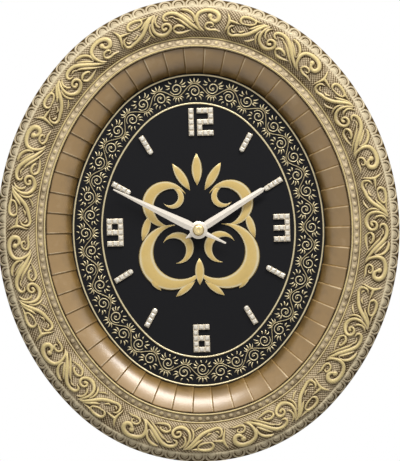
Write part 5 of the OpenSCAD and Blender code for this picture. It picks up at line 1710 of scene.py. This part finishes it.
def light_world(world, sky, front, ground):
    """White for the camera, reflections and glass; else a grey that is lighter above and in front."""
    world.use_nodes = True
    tree = world.node_tree
    tree.nodes.clear()
    way = add_node(tree, "TexCoord").outputs["Generated"]
    axes = add_node(tree, "SeparateXYZ", Vector=way).outputs
    from_front = ranged(tree, axes[1], 0.0, -1.0, 0.0, front)
    from_above = ranged(tree, axes[2], -0.2, 1.0, ground, sky)
    level = maths(tree, "ADD", from_front, from_above)
    soft = add_node(tree, "Background", Color=WHITE, Strength=level).outputs[0]
    white = add_node(tree, "Background", Color=WHITE, Strength=1.0).outputs[0]
    blend = add_node(tree, "MixShader", _0=background_rays(tree), _1=soft, _2=white)
    tree.links.new(blend.outputs[0], add_node(tree, "OutputWorld").inputs["Surface"])


class CLOCK_OT_stage(bpy.types.Operator):
    """Pale floor below the picture, soft light from above and a camera square to the clock"""

    bl_idname = "clock.stage"
    bl_label = "Stage"

    def execute(self, context):
        scene = context.scene
        stage = scene.clock_stage
        scene.view_settings.view_transform = "Standard"
        floor = bpy.data.meshes.new("floor")
        x, y, z = stage.floor_width / 2.0, stage.floor_depth / 2.0, stage.floor
        floor.from_pydata([(-x, -y, z), (x, -y, z), (x, y, z), (-x, y, z)], [], [(0, 1, 2, 3)])
        holder = bpy.data.objects.new("floor", floor)
        scene.collection.objects.link(holder)
        floor.materials.append(floor_finish())
        add_lamp("key_lamp", stage.key, *KEY_LAMP)
        add_lamp("fill_lamp", stage.fill, *FILL_LAMP)
        scene.world = bpy.data.worlds.new("studio")
        light_world(scene.world, stage.sky, stage.front, stage.ground)
        camera = bpy.data.cameras.new("camera")
        camera.lens = stage.lens
        camera.sensor_width = SENSOR_WIDTH
        holder = bpy.data.objects.new("camera", camera)
        scene.collection.objects.link(holder)
        holder.location = (stage.aim_x, -stage.distance, stage.aim_z)
        holder.rotation_euler = (math.pi / 2.0, stage.lean, 0.0)
        scene.camera = holder
        return {"FINISHED"}


OPERATORS = (
    CLOCK_OT_frame_side,
    CLOCK_OT_frame_rim,
    CLOCK_OT_frame_band,
    CLOCK_OT_frame_beads,
    CLOCK_OT_fluted_ring,
    CLOCK_OT_gold_lines,
    CLOCK_OT_vine_band,
    CLOCK_OT_medallion,
    CLOCK_OT_numerals,
    CLOCK_OT_batons,
    CLOCK_OT_stones,
    CLOCK_OT_hands,
    CLOCK_OT_hand_cap,
    CLOCK_OT_back_screws,
    CLOCK_OT_battery,
    CLOCK_OT_carried_finishes,
    CLOCK_OT_stage,
)
SETTINGS = {
    "clock_frame": ClockFrameSizes,
    "clock_dial": ClockDialSizes,
    "clock_hands": ClockHandSizes,
    "clock_colours": ClockColours,
    "clock_stage": ClockStage,
}


class CLOCK_PT_panel(bpy.types.Panel):
    """Lists the clock's pieces in the sidebar."""

    bl_idname = "CLOCK_PT_panel"
    bl_label = "Wall clock"
    bl_space_type = "VIEW_3D"
    bl_region_type = "UI"
    bl_category = "Wall clock"

    def draw(self, context):
        for operator in OPERATORS:
            self.layout.operator(operator.bl_idname)


def register():
    """Registers the settings, the operators and the panel."""
    for name, group in SETTINGS.items():
        bpy.utils.register_class(group)
        setattr(bpy.types.Scene, name, PointerProperty(type=group))
    for made in (*OPERATORS, CLOCK_PT_panel):
        bpy.utils.register_class(made)


def unregister():
    """Removes what register added."""
    for made in (CLOCK_PT_panel, *reversed(OPERATORS)):
        bpy.utils.unregister_class(made)
    for name, group in reversed(SETTINGS.items()):
        delattr(bpy.types.Scene, name)
        bpy.utils.unregister_class(group)


def main():
    """Builds every piece in order."""
    register()
    for operator in OPERATORS:
        name = operator.bl_idname.split(".")[1]
        getattr(bpy.ops.clock, name)()


if __name__ == "__main__":
    main()
